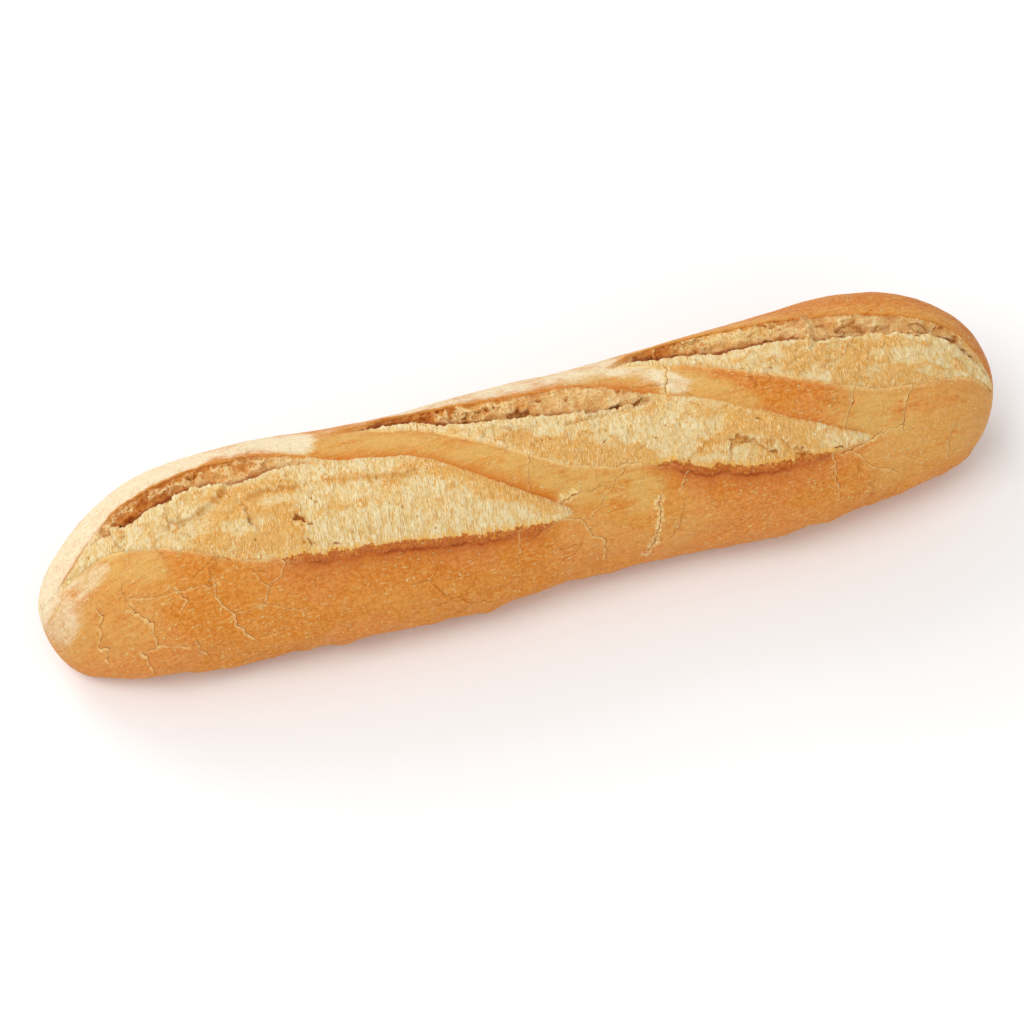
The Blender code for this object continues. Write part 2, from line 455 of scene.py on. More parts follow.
@dataclass(frozen=True)
class Cut:
    """One cut torn open in the oven, with the profile of its crust and of its crumb.

    Across a cut, from far to near: the crust lifts into a thin ear, which hangs over a crevice;
    the crumb climbs out of the crevice, swells into a crown and meets the near crust.
    """

    name: str
    far_edge: Line
    near_edge: Line
    shelf: Line  # girth at which the crumb comes up out of the crevice
    gape: Line  # how far the crevice is open, 0 to 1
    amber: Line  # how toasted the crevice's wall is, 0 to 1
    salt: int
    fibrous: Line  # 1 where the crumb is drawn out into fibres, 0 where it is grainy
    toasted: Line  # how much of it is toasted, 0 to 1
    lip: tuple[float, float] = (0.0, 0.0)  # where the crumb has run over the near crust and browned
    floury: tuple[float, float] = (0.0, 0.0)  # where the near edge is a pale, mealy rim
    folds: tuple[Fold, ...] = ()
    pits: tuple[Pit, ...] = ()
    ear_lift: float = 2.5
    crevice_depth: float = 3.9
    crown: float = 1.5
    edge_sink: float = 0.3
    frayed: float = 0.0  # how far beyond the far edge the crust has frayed into golden flakes
    browned: float = 1.0  # how much painted shade darkens the crust to orange in the crease along the far edge, where there is no crevice

    @property
    def start(self) -> float:
        """First station."""
        return self.far_edge.start

    @property
    def end(self) -> float:
        """Last station."""
        return self.far_edge.end

    def edges(self, x: Field) -> tuple[Field, Field]:
        """The ragged torn edges: the drawn lines with three sizes of waver.

        Args:
            x: stations.

        Returns:
            Girth of the far edge and of the near edge.
        """
        at, salt = pairs(x), self.salt
        far = self.far_edge.at(x) + 0.5 * rolling(at, 8, salt) + 0.3 * rolling(at, 2.1, salt + 1)
        near = self.near_edge.at(x) + 0.5 * rolling(at, 9, salt + 2) + 0.35 * rolling(at, 2.4, salt + 3)
        near = near + 0.2 * rolling(at, 0.9, salt + 4)
        far = far + 0.22 * rolling(at, 0.9, salt + 5)
        return far, np.maximum(near, far)

    def hang(self, x: Field) -> Field:
        """How far the crevice is open, 0 to 1."""
        return np.clip(self.gape.at(x) * (1 + 0.15 * rolling(pairs(x), 11, self.salt + 6)), 0, 1)

    def strength(self, x: Field, width: Field) -> Field:
        """0 where the cut is shut, 1 where it is wide enough for its full relief."""
        return ease(width / 4.5) * ((x > self.start) & (x < self.end))

    def rims(self, x: Field) -> tuple[Field, Field]:
        """How far the near edge is a browned lip, and how far a mealy rim, 0 to 1."""
        return stretch(x, *self.lip, LIP_FADE), stretch(x, *self.floury, FLOURY_FADE)

    def overhang(self, x: Field) -> Field:
        """How far the crumb has run over the near crust."""
        at = pairs(x)
        lip, floury = self.rims(x)
        uneven = 1 + 0.45 * rolling(at, 5, self.salt + 7) + 0.3 * rolling(at, 1.3, self.salt + 8)
        return np.maximum(1.9 * lip + 0.7 * floury * (1 - lip), 0.5) * uneven

    def ledge(self, x: Field, width: Field) -> Field:
        """Distance from the far rim to the edge where the crumb comes up out of the crevice."""
        return np.clip(self.shelf.at(x) - self.far_edge.at(x), 0.1 * width, 0.7 * width)

    def ragged(self, x: Field, inset: Field) -> Field:
        """How far the crumb's bristly edge strays from its line."""
        at = pairs(x, 0.2 * inset)
        return 0.8 * rolling(at, 4.5, self.salt + 9) + 0.45 * rolling(at, 1.1, self.salt + 10)

    def crumb(self, x: Field, inset: Field, width: Field) -> Field:
        """Height of the torn crumb.

        Formula: a flat-topped dome, sine of the share across to the power 0.6. As far as the
        crevice is open, its far part gives way to a wall, which falls from just under the ear to
        the crevice's floor, and from which the crumb rises again steeply at its ragged edge.

        Args:
            x: stations.
            inset: distance from the far rim.
            width: width of the cut there.

        Returns:
            Heights above the skin.
        """
        over, hang, ledge = self.overhang(x), self.hang(x), self.ledge(x, width)
        across = np.clip(inset / np.maximum(width + over, 0.5), 0.0, 1.0)
        sink = blend(self.edge_sink, -0.5, np.clip(over / 0.6, 0, 1) * ease(2 * across - 1))
        dome = (self.crown + sink) * np.sin(np.pi * across) ** 0.6 - sink
        fit = fitted(ledge, FULL_LEDGE)
        stray = inset + self.ragged(x, inset) * fit
        top = self.ear_lift - 0.9
        fall = np.clip(stray / np.maximum(ledge - 1.2 * fit, 0.2), 0, 1) ** 0.85
        wall = blend(top, -self.crevice_depth * (0.35 + 0.65 * fit), fall)
        rise = ease((stray - ledge + 1.6 * fit) / (2.4 * fit))
        height = blend(blend(dome, wall, hang), dome, rise)
        tuck = ease(-inset / (1.8 * fitted(width, FULL_WIDTH)))
        height = blend(height, hang * (top - 0.8) - (1 - hang) * 1.5, tuck)
        return height * self.strength(x, width) - 1.4 * (1 - self.strength(x, width))


CUTS = (
    Cut(
        name="first",
        far_edge=Line(((-156, 2), (-146, -3), (-136, -9.4), (-120, -13.2), (-98, -15.3), (-76, -12.8),
                       (-62, -8), (-34, -2), (-18, 10), (0, 23), (10, 30))),
        near_edge=Line(((-156, 2), (-138, 1), (-113, 11), (-95, 20), (-78, 23.5), (-45, 25), (-12, 30),
                        (10, 30))),
        shelf=Line(((-156, 2), (-140, -4.5), (-125, -5), (-108, -7.4), (-89, -5.4), (-76, -7.6),
                    (-62, -6.5))),
        gape=Line(((-158, 0), (-145, 0.0), (-138, 0.25), (-131, 0.9), (-96, 1), (-82, 0.8), (-70, 0.4),
                   (-58, 0))),
        amber=Line(((-150, 0.9), (-115, 0.75), (-100, 0.4), (-88, 0.65), (-70, 0.3))),
        lip=(-92, 8),
        salt=100,
        fibrous=Line(((-156, 0.5), (-100, 0.6), (-80, 0.8), (-60, 1.1), (10, 1.2))),
        toasted=Line(((-156, 0), (-130, 0.05), (-114, 0.2), (-104, 0.42), (-80, 0.46), (-60, 0.34),
                      (-40, 0.26), (-20, 0.36), (10, 0.3))),
        folds=(
            Fold(Route(((-115, 3), (-115, -2), (-113, -4.5), (-109, -6.6), (-104, -6.6))), 0.9, 0.3,
                 cliff=1.0),
            Fold(Route(((-115, 2.2), (-110, 3.5), (-108, 3), (-104, 1.5), (-99, -0.8), (-96, -4.0))), 0.9,
                 0.3, cliff=-1.0),
            Fold(Route(((-112, 2), (-111, -3), (-107, -5.5))), 0.5, 0.5, toast=0.5),
            Fold(Route(((-108, 1.5), (-107, -2), (-103, -4.5))), 0.5, 0.5, toast=0.5),
            Fold(Route(((-100, 5), (-96, 3), (-94, -2))), 1.0, 0.2, cliff=0.3, toast=0.4),
            Fold(Route(((-92, 3.6), (-91, 8.4), (-90, 11.5))), 0.7, -0.2, cliff=0.8),
            Fold(Route(((-89, 1.2), (-84, 0.4), (-80, 0.8), (-75, 1.2))), 1.3, 0.5, cliff=-0.7, toast=1.5),
            Fold(Route(((-64, 1), (-57, 1.5), (-46, 3.3), (-38, 3))), 1.1, 0.7, cliff=-0.3, toast=0.9),
            Fold(Route(((-132, -6), (-132, -2), (-131, 2), (-129, 5))), 0.9, 0.4, cliff=-0.9),
            Fold(Route(((-129, -6), (-130, 0))), 0.8, 0.3, cliff=0.4, toast=0.6),
            Fold(Route(((-108, 11), (-102, 14), (-94, 16), (-84, 18))), 1.5, 0.0, toast=1.1),
            Fold(Route(((-93, 5), (-89, 8.4), (-81, 11), (-77, 16))), 2.6, 0.0, toast=0.6),
            Fold(Route(((-80, 8), (-79, 12), (-78, 17))), 1.6, 0.1, toast=0.9),
            Fold(Route(((-40, 0), (-30, 4), (-20, 12), (-8, 20), (0, 24))), 2.4, 0.2, toast=0.9),
            Fold(Route(((-92, -8), (-84, -8.8), (-70, -10), (-58, -6))), 2.0, 0.2, toast=-0.9),
            Fold(Route(((-62, -5), (-50, -3), (-40, -3.5))), 2.2, 0.3, toast=-0.9),
            Fold(Route(((-70, 18), (-50, 17), (-30, 20), (-10, 26))), 3.0, 0.1, toast=-0.5),
            Fold(Route(((-56, 18.6), (-54, 24.2))), 0.4, -0.3, cliff=0.4),
        ),
        pits=(
            Pit(-76, 12.2, 1.9, 0.7, 40, 1.8),
            Pit(-73, 14.6, 0.9, 0.6, 20, 1.0, 0.6),
            Pit(-91, 9.5, 2.4, 0.35, 80, 1.0, 0.7),
            Pit(-74.5, 20, 1.5, 0.4, 65, 1.0, 0.7),
            Pit(-67, 21.8, 1.0, 0.6, 0, 1.2, 0.8),
            Pit(-41, -6, 1.7, 0.6, 0, 1.3, 0.8),
            Pit(-115, 1.5, 2.2, 0.35, 85, 1.0, 0.8),
        ),
    ),
    Cut(
        name="middle",
        far_edge=Line(((-60, -22), (-28, -20.5), (0, -15.5), (24, -12), (38, -5), (60, 5), (80, 17),
                       (111, 33))),
        near_edge=Line(((-60, -21.5), (-36, -15.5), (-12, 0), (6, 12.5), (38, 21), (62, 29), (111, 33))),
        shelf=Line(((-60, -21.5), (-50, -20), (-36, -17), (-24, -12), (-12, -7.6), (0, -5), (19, -2),
                    (38, 0.6))),
        gape=Line(((-61, 0), (-50, 0.8), (-20, 1), (0, 0.9), (14, 0.7), (26, 0.75), (38, 0.5), (50, 0))),
        amber=Line(((-60, 1.2), (-34, 1.1), (-24, 0.5), (-8, 0.2), (4, 0.45), (30, 0.3), (46, 0.1))),
        lip=(30, 100),
        floury=(-58, 8),
        browned=0.25,
        salt=200,
        fibrous=Line(((-60, 0.4), (-10, 0.4), (30, 0.4), (70, 0.3), (90, 0.8), (111, 1.0))),
        toasted=Line(((-60, 0.4), (-10, 0.48), (14, 0.46), (36, 0.28), (56, 0.38), (76, 0.8), (92, 0.45),
                      (111, 0.3))),
        folds=(
            Fold(Route(((60, 25), (61, 20.1), (63, 19.4), (66, 19.9), (69, 21.7), (72, 25))), 0.8, -0.2,
                 cliff=-1.0),
            Fold(Route(((72, 22.7), (75, 24.1), (75, 27.3))), 0.7, 0.1, cliff=-0.6),
            Fold(Route(((78, 24.2), (80, 27.1), (84, 28.8), (87, 32))), 0.8, -0.2, cliff=-1.0),
            Fold(Route(((54, 18.6), (51, 20.2), (46, 22), (42, 22))), 0.8, 0.0, cliff=0.4),
            Fold(Route(((14, 1.5), (24, 0.5), (33, 0.8), (42, -1))), 0.8, -0.8, cliff=-0.5),
            Fold(Route(((-5, -2.9), (-3, -0.8), (-4, 0.8), (-8, 1.5))), 0.8, 0.5, cliff=-0.8),
            Fold(Route(((0, 5), (12, 11), (24, 17), (34, 19))), 3.4, 0.0, toast=0.85),
            Fold(Route(((64, 14), (75, 18.5), (84, 24))), 2.6, 0.3, toast=0.7),
            Fold(Route(((-30, -14), (-18, -7), (-6, 1), (2, 7))), 1.2, 0.1, toast=0.5),
            Fold(Route(((-20, -9), (0, -2), (16, 4), (34, 8), (50, 14))), 2.6, 0.2, toast=-0.6),
        ),
        pits=(
            Pit(1, -9.6, 4.0, 1.2, 5, 2.0, 0.9),
            Pit(23, -1.0, 2.8, 0.9, 0, 1.8),
            Pit(31, -1.6, 2.4, 0.8, 0, 1.8),
            Pit(38, -1.0, 2.2, 0.6, -20, 1.6),
            Pit(66, 21.6, 2.2, 0.6, 10, 0.8, 0.5),
            Pit(74, 27.0, 0.8, 0.6, 0, 1.0, 0.6),
            Pit(83, 30.3, 2.0, 0.5, 30, 0.8, 0.5),
            Pit(72, 15.9, 1.4, 0.3, 15, 0.8, 0.6),
            Pit(23, 10.4, 0.6, 0.4, 0, 0.8, 0.8),
            Pit(96, 31.9, 2.0, 0.4, 10, 1.0, 0.8),
            Pit(103, 32.8, 2.0, 0.4, 5, 1.0, 0.8),
        ),
    ),
    Cut(
        name="last",
        far_edge=Line(((33, -20.5), (58, -23), (80, -20.5), (100, -15.5), (124, -7.5), (136, -3), (142, -1),
                       (146, 2), (150, 6), (154, 10.5), (157, 15.5))),
        near_edge=Line(((33, -20), (56, -11.5), (90, 6.5), (112, 17), (126, 19), (138, 17.4), (146, 16.4),
                        (157, 16))),
        shelf=Line(((33, -20), (44, -16.5), (63, -11.5), (89, -8.6), (102, -4), (120, 0), (135, 4),
                    (142, 6.5), (147, 10), (152, 13))),
        gape=Line(((32, 0), (44, 0.8), (72, 1), (92, 0.95), (99, 0.6), (108, 0.8), (120, 0.65), (136, 0.85),
                   (148, 0.7), (156, 0))),
        amber=Line(((33, 1), (52, 0.8), (62, 0.3), (84, 0.1), (100, 0.6), (112, 0.25), (126, 0.4),
                    (140, 0.05), (156, 0.2))),
        salt=300,
        frayed=11.0,
        fibrous=Line(((33, 0.6), (60, 0.5), (80, 0.15), (157, 0.1))),
        toasted=Line(((33, 0.2), (60, 0.35), (80, 0.6), (110, 0.68), (130, 0.56), (145, 0.3), (157, 0.2))),
        folds=(
            Fold(Route(((100, -15), (99, -10), (97, -5))), 1.1, 1.6, cliff=0.4),
            Fold(Route(((84, 4), (98, 9), (106, 14), (122, 17))), 1.6, 0.0, toast=0.5),
            Fold(Route(((104, -7.5), (114, -4.5), (128, -1), (138, 3))), 0.8, 0.2, cliff=0.5),
            Fold(Route(((44, -16), (60, -8), (80, 2), (98, 10))), 2.0, 0.1, toast=-0.8),
            Fold(Route(((130, 1), (140, 5), (150, 11))), 2.2, 0.4, toast=-1.0),
        ),
        pits=(
            Pit(91, -11.0, 5.0, 0.8, 8, 1.4, 0.6),
            Pit(104, -11.4, 1.2, 0.9, 0, 1.6, 0.6),
            Pit(112, -6.8, 4.2, 1.4, 18, 2.2, 0.7),
            Pit(122, -3.4, 3.0, 1.2, 15, 2.0, 0.6),
            Pit(134, -0.6, 3.0, 1.2, 25, 2.0, 0.9),
            Pit(141, 3.6, 2.2, 0.7, 35, 1.6, 0.7),
            Pit(147, 8.0, 1.6, 0.5, 50, 1.2, 0.6),
        ),
    ),
)


class Split(Enum):
    """How a crack in the crust looks: half width of its gap, depth, and how pale its edge is, a painted
    highlight on one side.
    """

    HAIRLINE = (0.09, 0.20, 0.5)
    CRACK = (0.13, 0.40, 0.8)
    GAPING = (0.20, 0.60, 1.0)

    @property
    def half_width(self) -> float:
        """Half the width of the dark gap."""
        return self.value[0]

    @property
    def depth(self) -> float:
        """Depth of its middle."""
        return self.value[1]

    @property
    def pale(self) -> float:
        """Paleness of the crust beside it, a painted highlight on one side, 0 to 1."""
        return self.value[2]


@dataclass(frozen=True)
class Crack:
    """One crack in the crust."""

    kind: Split
    route: Route


CRACKS = (
    Crack(Split.GAPING, Route(((36, 32), (35.5, 38), (34, 46), (30, 55)))),
    Crack(Split.GAPING, Route(((10, 24), (5, 25), (2, 30)))),
    Crack(Split.CRACK, Route(((5, 31), (10, 32), (13, 39), (17, 42), (17, 50)))),
    Crack(Split.HAIRLINE, Route(((29, 19), (25, 22), (17, 29), (14, 33)))),
    Crack(Split.CRACK, Route(((46, 27), (44, 30)))),
    Crack(Split.CRACK, Route(((94, 34), (94, 41), (95, 51)))),
    Crack(Split.CRACK, Route(((106, 15), (104, 19), (102, 22), (99, 27)))),
    Crack(Split.CRACK, Route(((127, 17), (121, 24), (119, 32)))),
    Crack(Split.CRACK, Route(((97, 34.3), (104, 33.8), (108, 33), (111, 31)))),
    Crack(Split.HAIRLINE, Route(((104, 34), (110, 32), (120, 31), (125, 38), (121, 44)))),
    Crack(Split.CRACK, Route(((137, 35), (135, 40), (135, 47)))),
    Crack(Split.HAIRLINE, Route(((102, 36), (106, 42), (115, 48)))),
    Crack(Split.CRACK, Route(((-83, 23), (-86, 28), (-90, 31), (-93, 36)))),
    Crack(Split.CRACK, Route(((-93, 26), (-90, 31)))),
    Crack(Split.HAIRLINE, Route(((-93, 36), (-97, 37), (-102, 37)))),
    Crack(Split.CRACK, Route(((-106, 25), (-106, 31), (-102, 37), (-102, 41), (-98, 48)))),
    Crack(Split.CRACK, Route(((-117, 23), (-115, 27), (-117, 29)))),
    Crack(Split.HAIRLINE, Route(((-132, 22), (-132, 18), (-124, 22), (-112, 24), (-106, 25)))),
    Crack(Split.CRACK, Route(((-132, 22), (-127, 29), (-127, 37)))),
    Crack(Split.CRACK, Route(((-142, 15), (-141, 18), (-143, 20), (-144, 26)))),
    Crack(Split.CRACK, Route(((-144, 27), (-142, 29), (-143, 33)))),
    Crack(Split.HAIRLINE, Route(((-132, 37), (-127, 37), (-119, 42)))),
    Crack(Split.CRACK, Route(((-132, 37), (-131, 41), (-130, 47)))),
    Crack(Split.CRACK, Route(((-115, 43), (-115, 46), (-113, 50)))),
    Crack(Split.HAIRLINE, Route(((-93, 36), (-88, 38), (-82, 41)))),
    Crack(Split.HAIRLINE, Route(((-93, 49), (-87, 48)))),
    Crack(Split.GAPING, Route(((51, -12), (49.5, -6), (47, -1)))),
    Crack(Split.HAIRLINE, Route(((-10, 31), (-12, 40)))),
    Crack(Split.HAIRLINE, Route(((-1, 7), (-5, 21)))),
)


CRUST_MARKS = ("torn", "ear", "lip", "groove", "crease", "frayed", "rim", "flaky", "gap", "side", "young",
               "burnt", "dusty")


class Tone(Enum):
    """What the oven, flour and painted highlight have done to a stretch of crust."""

    YOUNG = "young"  # opened late, and still pale yellow
    BURNT = "burnt"  # browned more than the rest
    DUSTY = "dusty"  # floured, and paler; part of the paleness is painted highlight on the upper far crust


@dataclass(frozen=True)
class Tint:
    """A stretch of crust along a route, coloured as far as a radius from it."""

    tone: Tone
    route: Route
    radius: float
    strength: float = 1.0


TINTS = (
    Tint(Tone.YOUNG, Route(((-70, -17), (-50, -15), (-34, -9), (-10, 6), (10, 20), (32, 29))), 8),
    Tint(Tone.YOUNG, Route(((24, -18), (40, -15), (50, -6), (60, 2), (70, 9))), 6.5),
    Tint(Tone.YOUNG, Route(((101, 21), (108, 25), (119, 29))), 8, 1.0),
    Tint(Tone.YOUNG, Route(((118, 40), (140, 34), (152, 26))), 17, 0.6),
    Tint(Tone.YOUNG, Route(((16, 34), (40, 44))), 14, 0.4),
    Tint(Tone.YOUNG, Route(((-154, 14), (-136, 22))), 15, 0.5),
    Tint(Tone.YOUNG, Route(((-144, 4), (-136, 7), (-124, 12))), 6, 0.9),
    Tint(Tone.BURNT, Route(((74, -1), (84, 6), (92, 12), (98, 18))), 5.0, 0.8),
    Tint(Tone.BURNT, Route(((64, -6), (72, -3))), 3.0, 0.5),
    Tint(Tone.BURNT, Route(((-56, -23), (-36, -22))), 4.0, 0.3),
    Tint(Tone.BURNT, Route(((-78, 29), (-60, 32), (-30, 35))), 7, 0.5),
    Tint(Tone.BURNT, Route(((56, 33), (76, 37), (94, 38))), 7, 0.5),
    Tint(Tone.BURNT, Route(((98, -26), (124, -17), (142, -9), (152, 0), (158, 9))), 9, 0.9),
    Tint(Tone.BURNT, Route(((-50, -18), (-30, -11), (-10, 3), (6, 13))), 1.4, 0.5),
    # Flour, and painted highlight where the light falls on the upper far crust
    Tint(Tone.DUSTY, Route(((-158, -6), (-146, -11), (-130, -18), (-118, -23), (-106, -25))), 15),
    Tint(Tone.DUSTY, Route(((-104, -25), (-92, -24), (-84, -23))), 13, 0.8),
    Tint(Tone.DUSTY, Route(((-78, -25), (-70, -21))), 10),
    Tint(Tone.DUSTY, Route(((-148, 1), (-153, 8), (-157, 14))), 9, 0.6),
    Tint(Tone.DUSTY, Route(((-146, 4), (-138, 7))), 4, 0.6),
    Tint(Tone.DUSTY, Route(((-30, -28), (-10, -26), (12, -25), (32, -24))), 11, 0.8),
    Tint(Tone.DUSTY, Route(((-154, -30), (-118, -36), (-88, -36))), 25, 0.55),
    Tint(Tone.DUSTY, Route(((-80, -38), (-40, -38), (40, -38))), 22, 0.42),
    Tint(Tone.DUSTY, Route(((40, -44), (80, -46), (110, -48))), 20, 0.3),
    Tint(Tone.DUSTY, Route(((35, -18), (43, -13), (48, -7), (52, -3))), 4.5, 0.8),
)


# ------------------------------------------------------------------------------ mesh making


def facing(points: Field) -> Field:
    """Unit normals of a grid of points: the cross product of its two central differences."""
    normal = np.cross(np.gradient(points, axis=0), np.gradient(points, axis=1))
    return -normal / np.maximum(np.linalg.norm(normal, axis=-1, keepdims=True), 1e-9)


@dataclass
class Tube:
    """A closed surface of rings: n stations by m points round each, with a point at both ends.

    Rings run from the near side over the top to the far side and back underneath. Values go with
    the points, one number for each.
    """

    name: str
    points: Field
    values: dict[str, Field]

    def build(self, material: bpy.types.Material) -> bpy.types.Object:
        """Makes the object: a quad between neighbouring points, and a fan of triangles at each end.

        Its map unrolls the tube into one sheet that fills the unit square.

        Args:
            material: its finish.

        Returns:
            The object, standing at the origin.
        """
        rows, around = self.points.shape[:2]
        ends = np.stack([self.points[0].mean(axis=0), self.points[-1].mean(axis=0)])
        places = np.concatenate([self.points.reshape(-1, 3), ends]) * METRE
        i, j = np.meshgrid(np.arange(rows - 1), np.arange(around), indexing="ij")
        k, here, ahead = (j + 1) % around, i * around, (i + 1) * around
        quads = np.stack([here + j, ahead + j, ahead + k, here + k], axis=-1)
        edge, after = np.arange(around), (np.arange(around) + 1) % around
        left, right, last = rows * around, rows * around + 1, (rows - 1) * around
        fans = np.concatenate([
            np.stack([np.full(around, left), edge, after], axis=-1),
            np.stack([np.full(around, right), last + after, last + edge], axis=-1),
        ])
        corners = np.concatenate([quads.ravel(), fans.ravel()]).astype(np.int32)
        mesh = bpy.data.meshes.new(self.name)
        mesh.vertices.add(len(places))
        mesh.vertices.foreach_set("co", places.astype(np.float32).ravel())
        mesh.loops.add(len(corners))
        mesh.loops.foreach_set("vertex_index", corners)
        quad_count, fan_count = (rows - 1) * around, 2 * around
        starts = np.concatenate([4 * np.arange(quad_count), 4 * quad_count + 3 * np.arange(fan_count)])
        mesh.polygons.add(quad_count + fan_count)
        mesh.polygons.foreach_set("loop_start", starts.astype(np.int32))
        mesh.update(calc_edges=True)
        mesh.shade_smooth()
        sheet = mesh.uv_layers.new(name="OFBake")
        u, v = (np.arange(rows) + 1) / (rows + 1), np.arange(around + 1) / around
        quad_uv = np.stack([np.stack([u[i], v[j]], -1), np.stack([u[i + 1], v[j]], -1),
                            np.stack([u[i + 1], v[j + 1]], -1), np.stack([u[i], v[j + 1]], -1)], axis=2)
        middle = (edge + 0.5) / around
        fan_uv = np.concatenate([
            np.stack([np.stack([0 * middle, middle], -1), np.stack([u[0] + 0 * middle, v[edge]], -1),
                      np.stack([u[0] + 0 * middle, v[edge + 1]], -1)], axis=1),
            np.stack([np.stack([0 * middle + 1, middle], -1), np.stack([u[-1] + 0 * middle, v[edge + 1]], -1),
                      np.stack([u[-1] + 0 * middle, v[edge]], -1)], axis=1),
        ])
        flat = np.concatenate([quad_uv.ravel(), fan_uv.ravel()]).astype(np.float32)
        sheet.data.foreach_set("uv", flat)
        for name, value in self.values.items():
            size = value.shape[-1] if value.ndim == 3 else 1
            rim = np.stack([value[0].mean(axis=0), value[-1].mean(axis=0)])
            flat = np.concatenate([value.reshape(rows * around, -1), rim.reshape(2, -1)])
            layer = mesh.attributes.new(name, "FLOAT_VECTOR" if size == 3 else "FLOAT", "POINT")
            layer.data.foreach_set("vector" if size == 3 else "value", flat.astype(np.float32).ravel())
        mesh.materials.append(material)
        piece = bpy.data.objects.new(self.name, mesh)
        bpy.context.scene.collection.objects.link(piece)
        return piece


def thin(piece: bpy.types.Object, most: int) -> None:
    """Collapses a piece's least needed edges until at most that many triangles are left.

    Args:
        piece: the object, whose mesh is replaced.
        most: number of triangles.
    """
    full = piece.data
    full.calc_loop_triangles()
    modifier = piece.modifiers.new("thin", "DECIMATE")
    modifier.ratio = min(1.0, most / len(full.loop_triangles))
    bpy.context.view_layer.update()
    thinned = bpy.data.meshes.new_from_object(
        piece.evaluated_get(bpy.context.evaluated_depsgraph_get()), preserve_all_data_layers=True,
        depsgraph=bpy.context.evaluated_depsgraph_get(),
    )
    piece.modifiers.remove(modifier)
    thinned.name = full.name
    piece.data = thinned
    bpy.data.meshes.remove(full)


def settle(piece: bpy.types.Object) -> None:
    """Hands a finished piece to the frame: it rides on the loaf's body and stands for its node."""
    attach(piece, BODY)
    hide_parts(NODE)
    log.info("%s: %d faces", piece.name, len(piece.data.polygons))


# -------------------------------------------------------------------------------- the crust


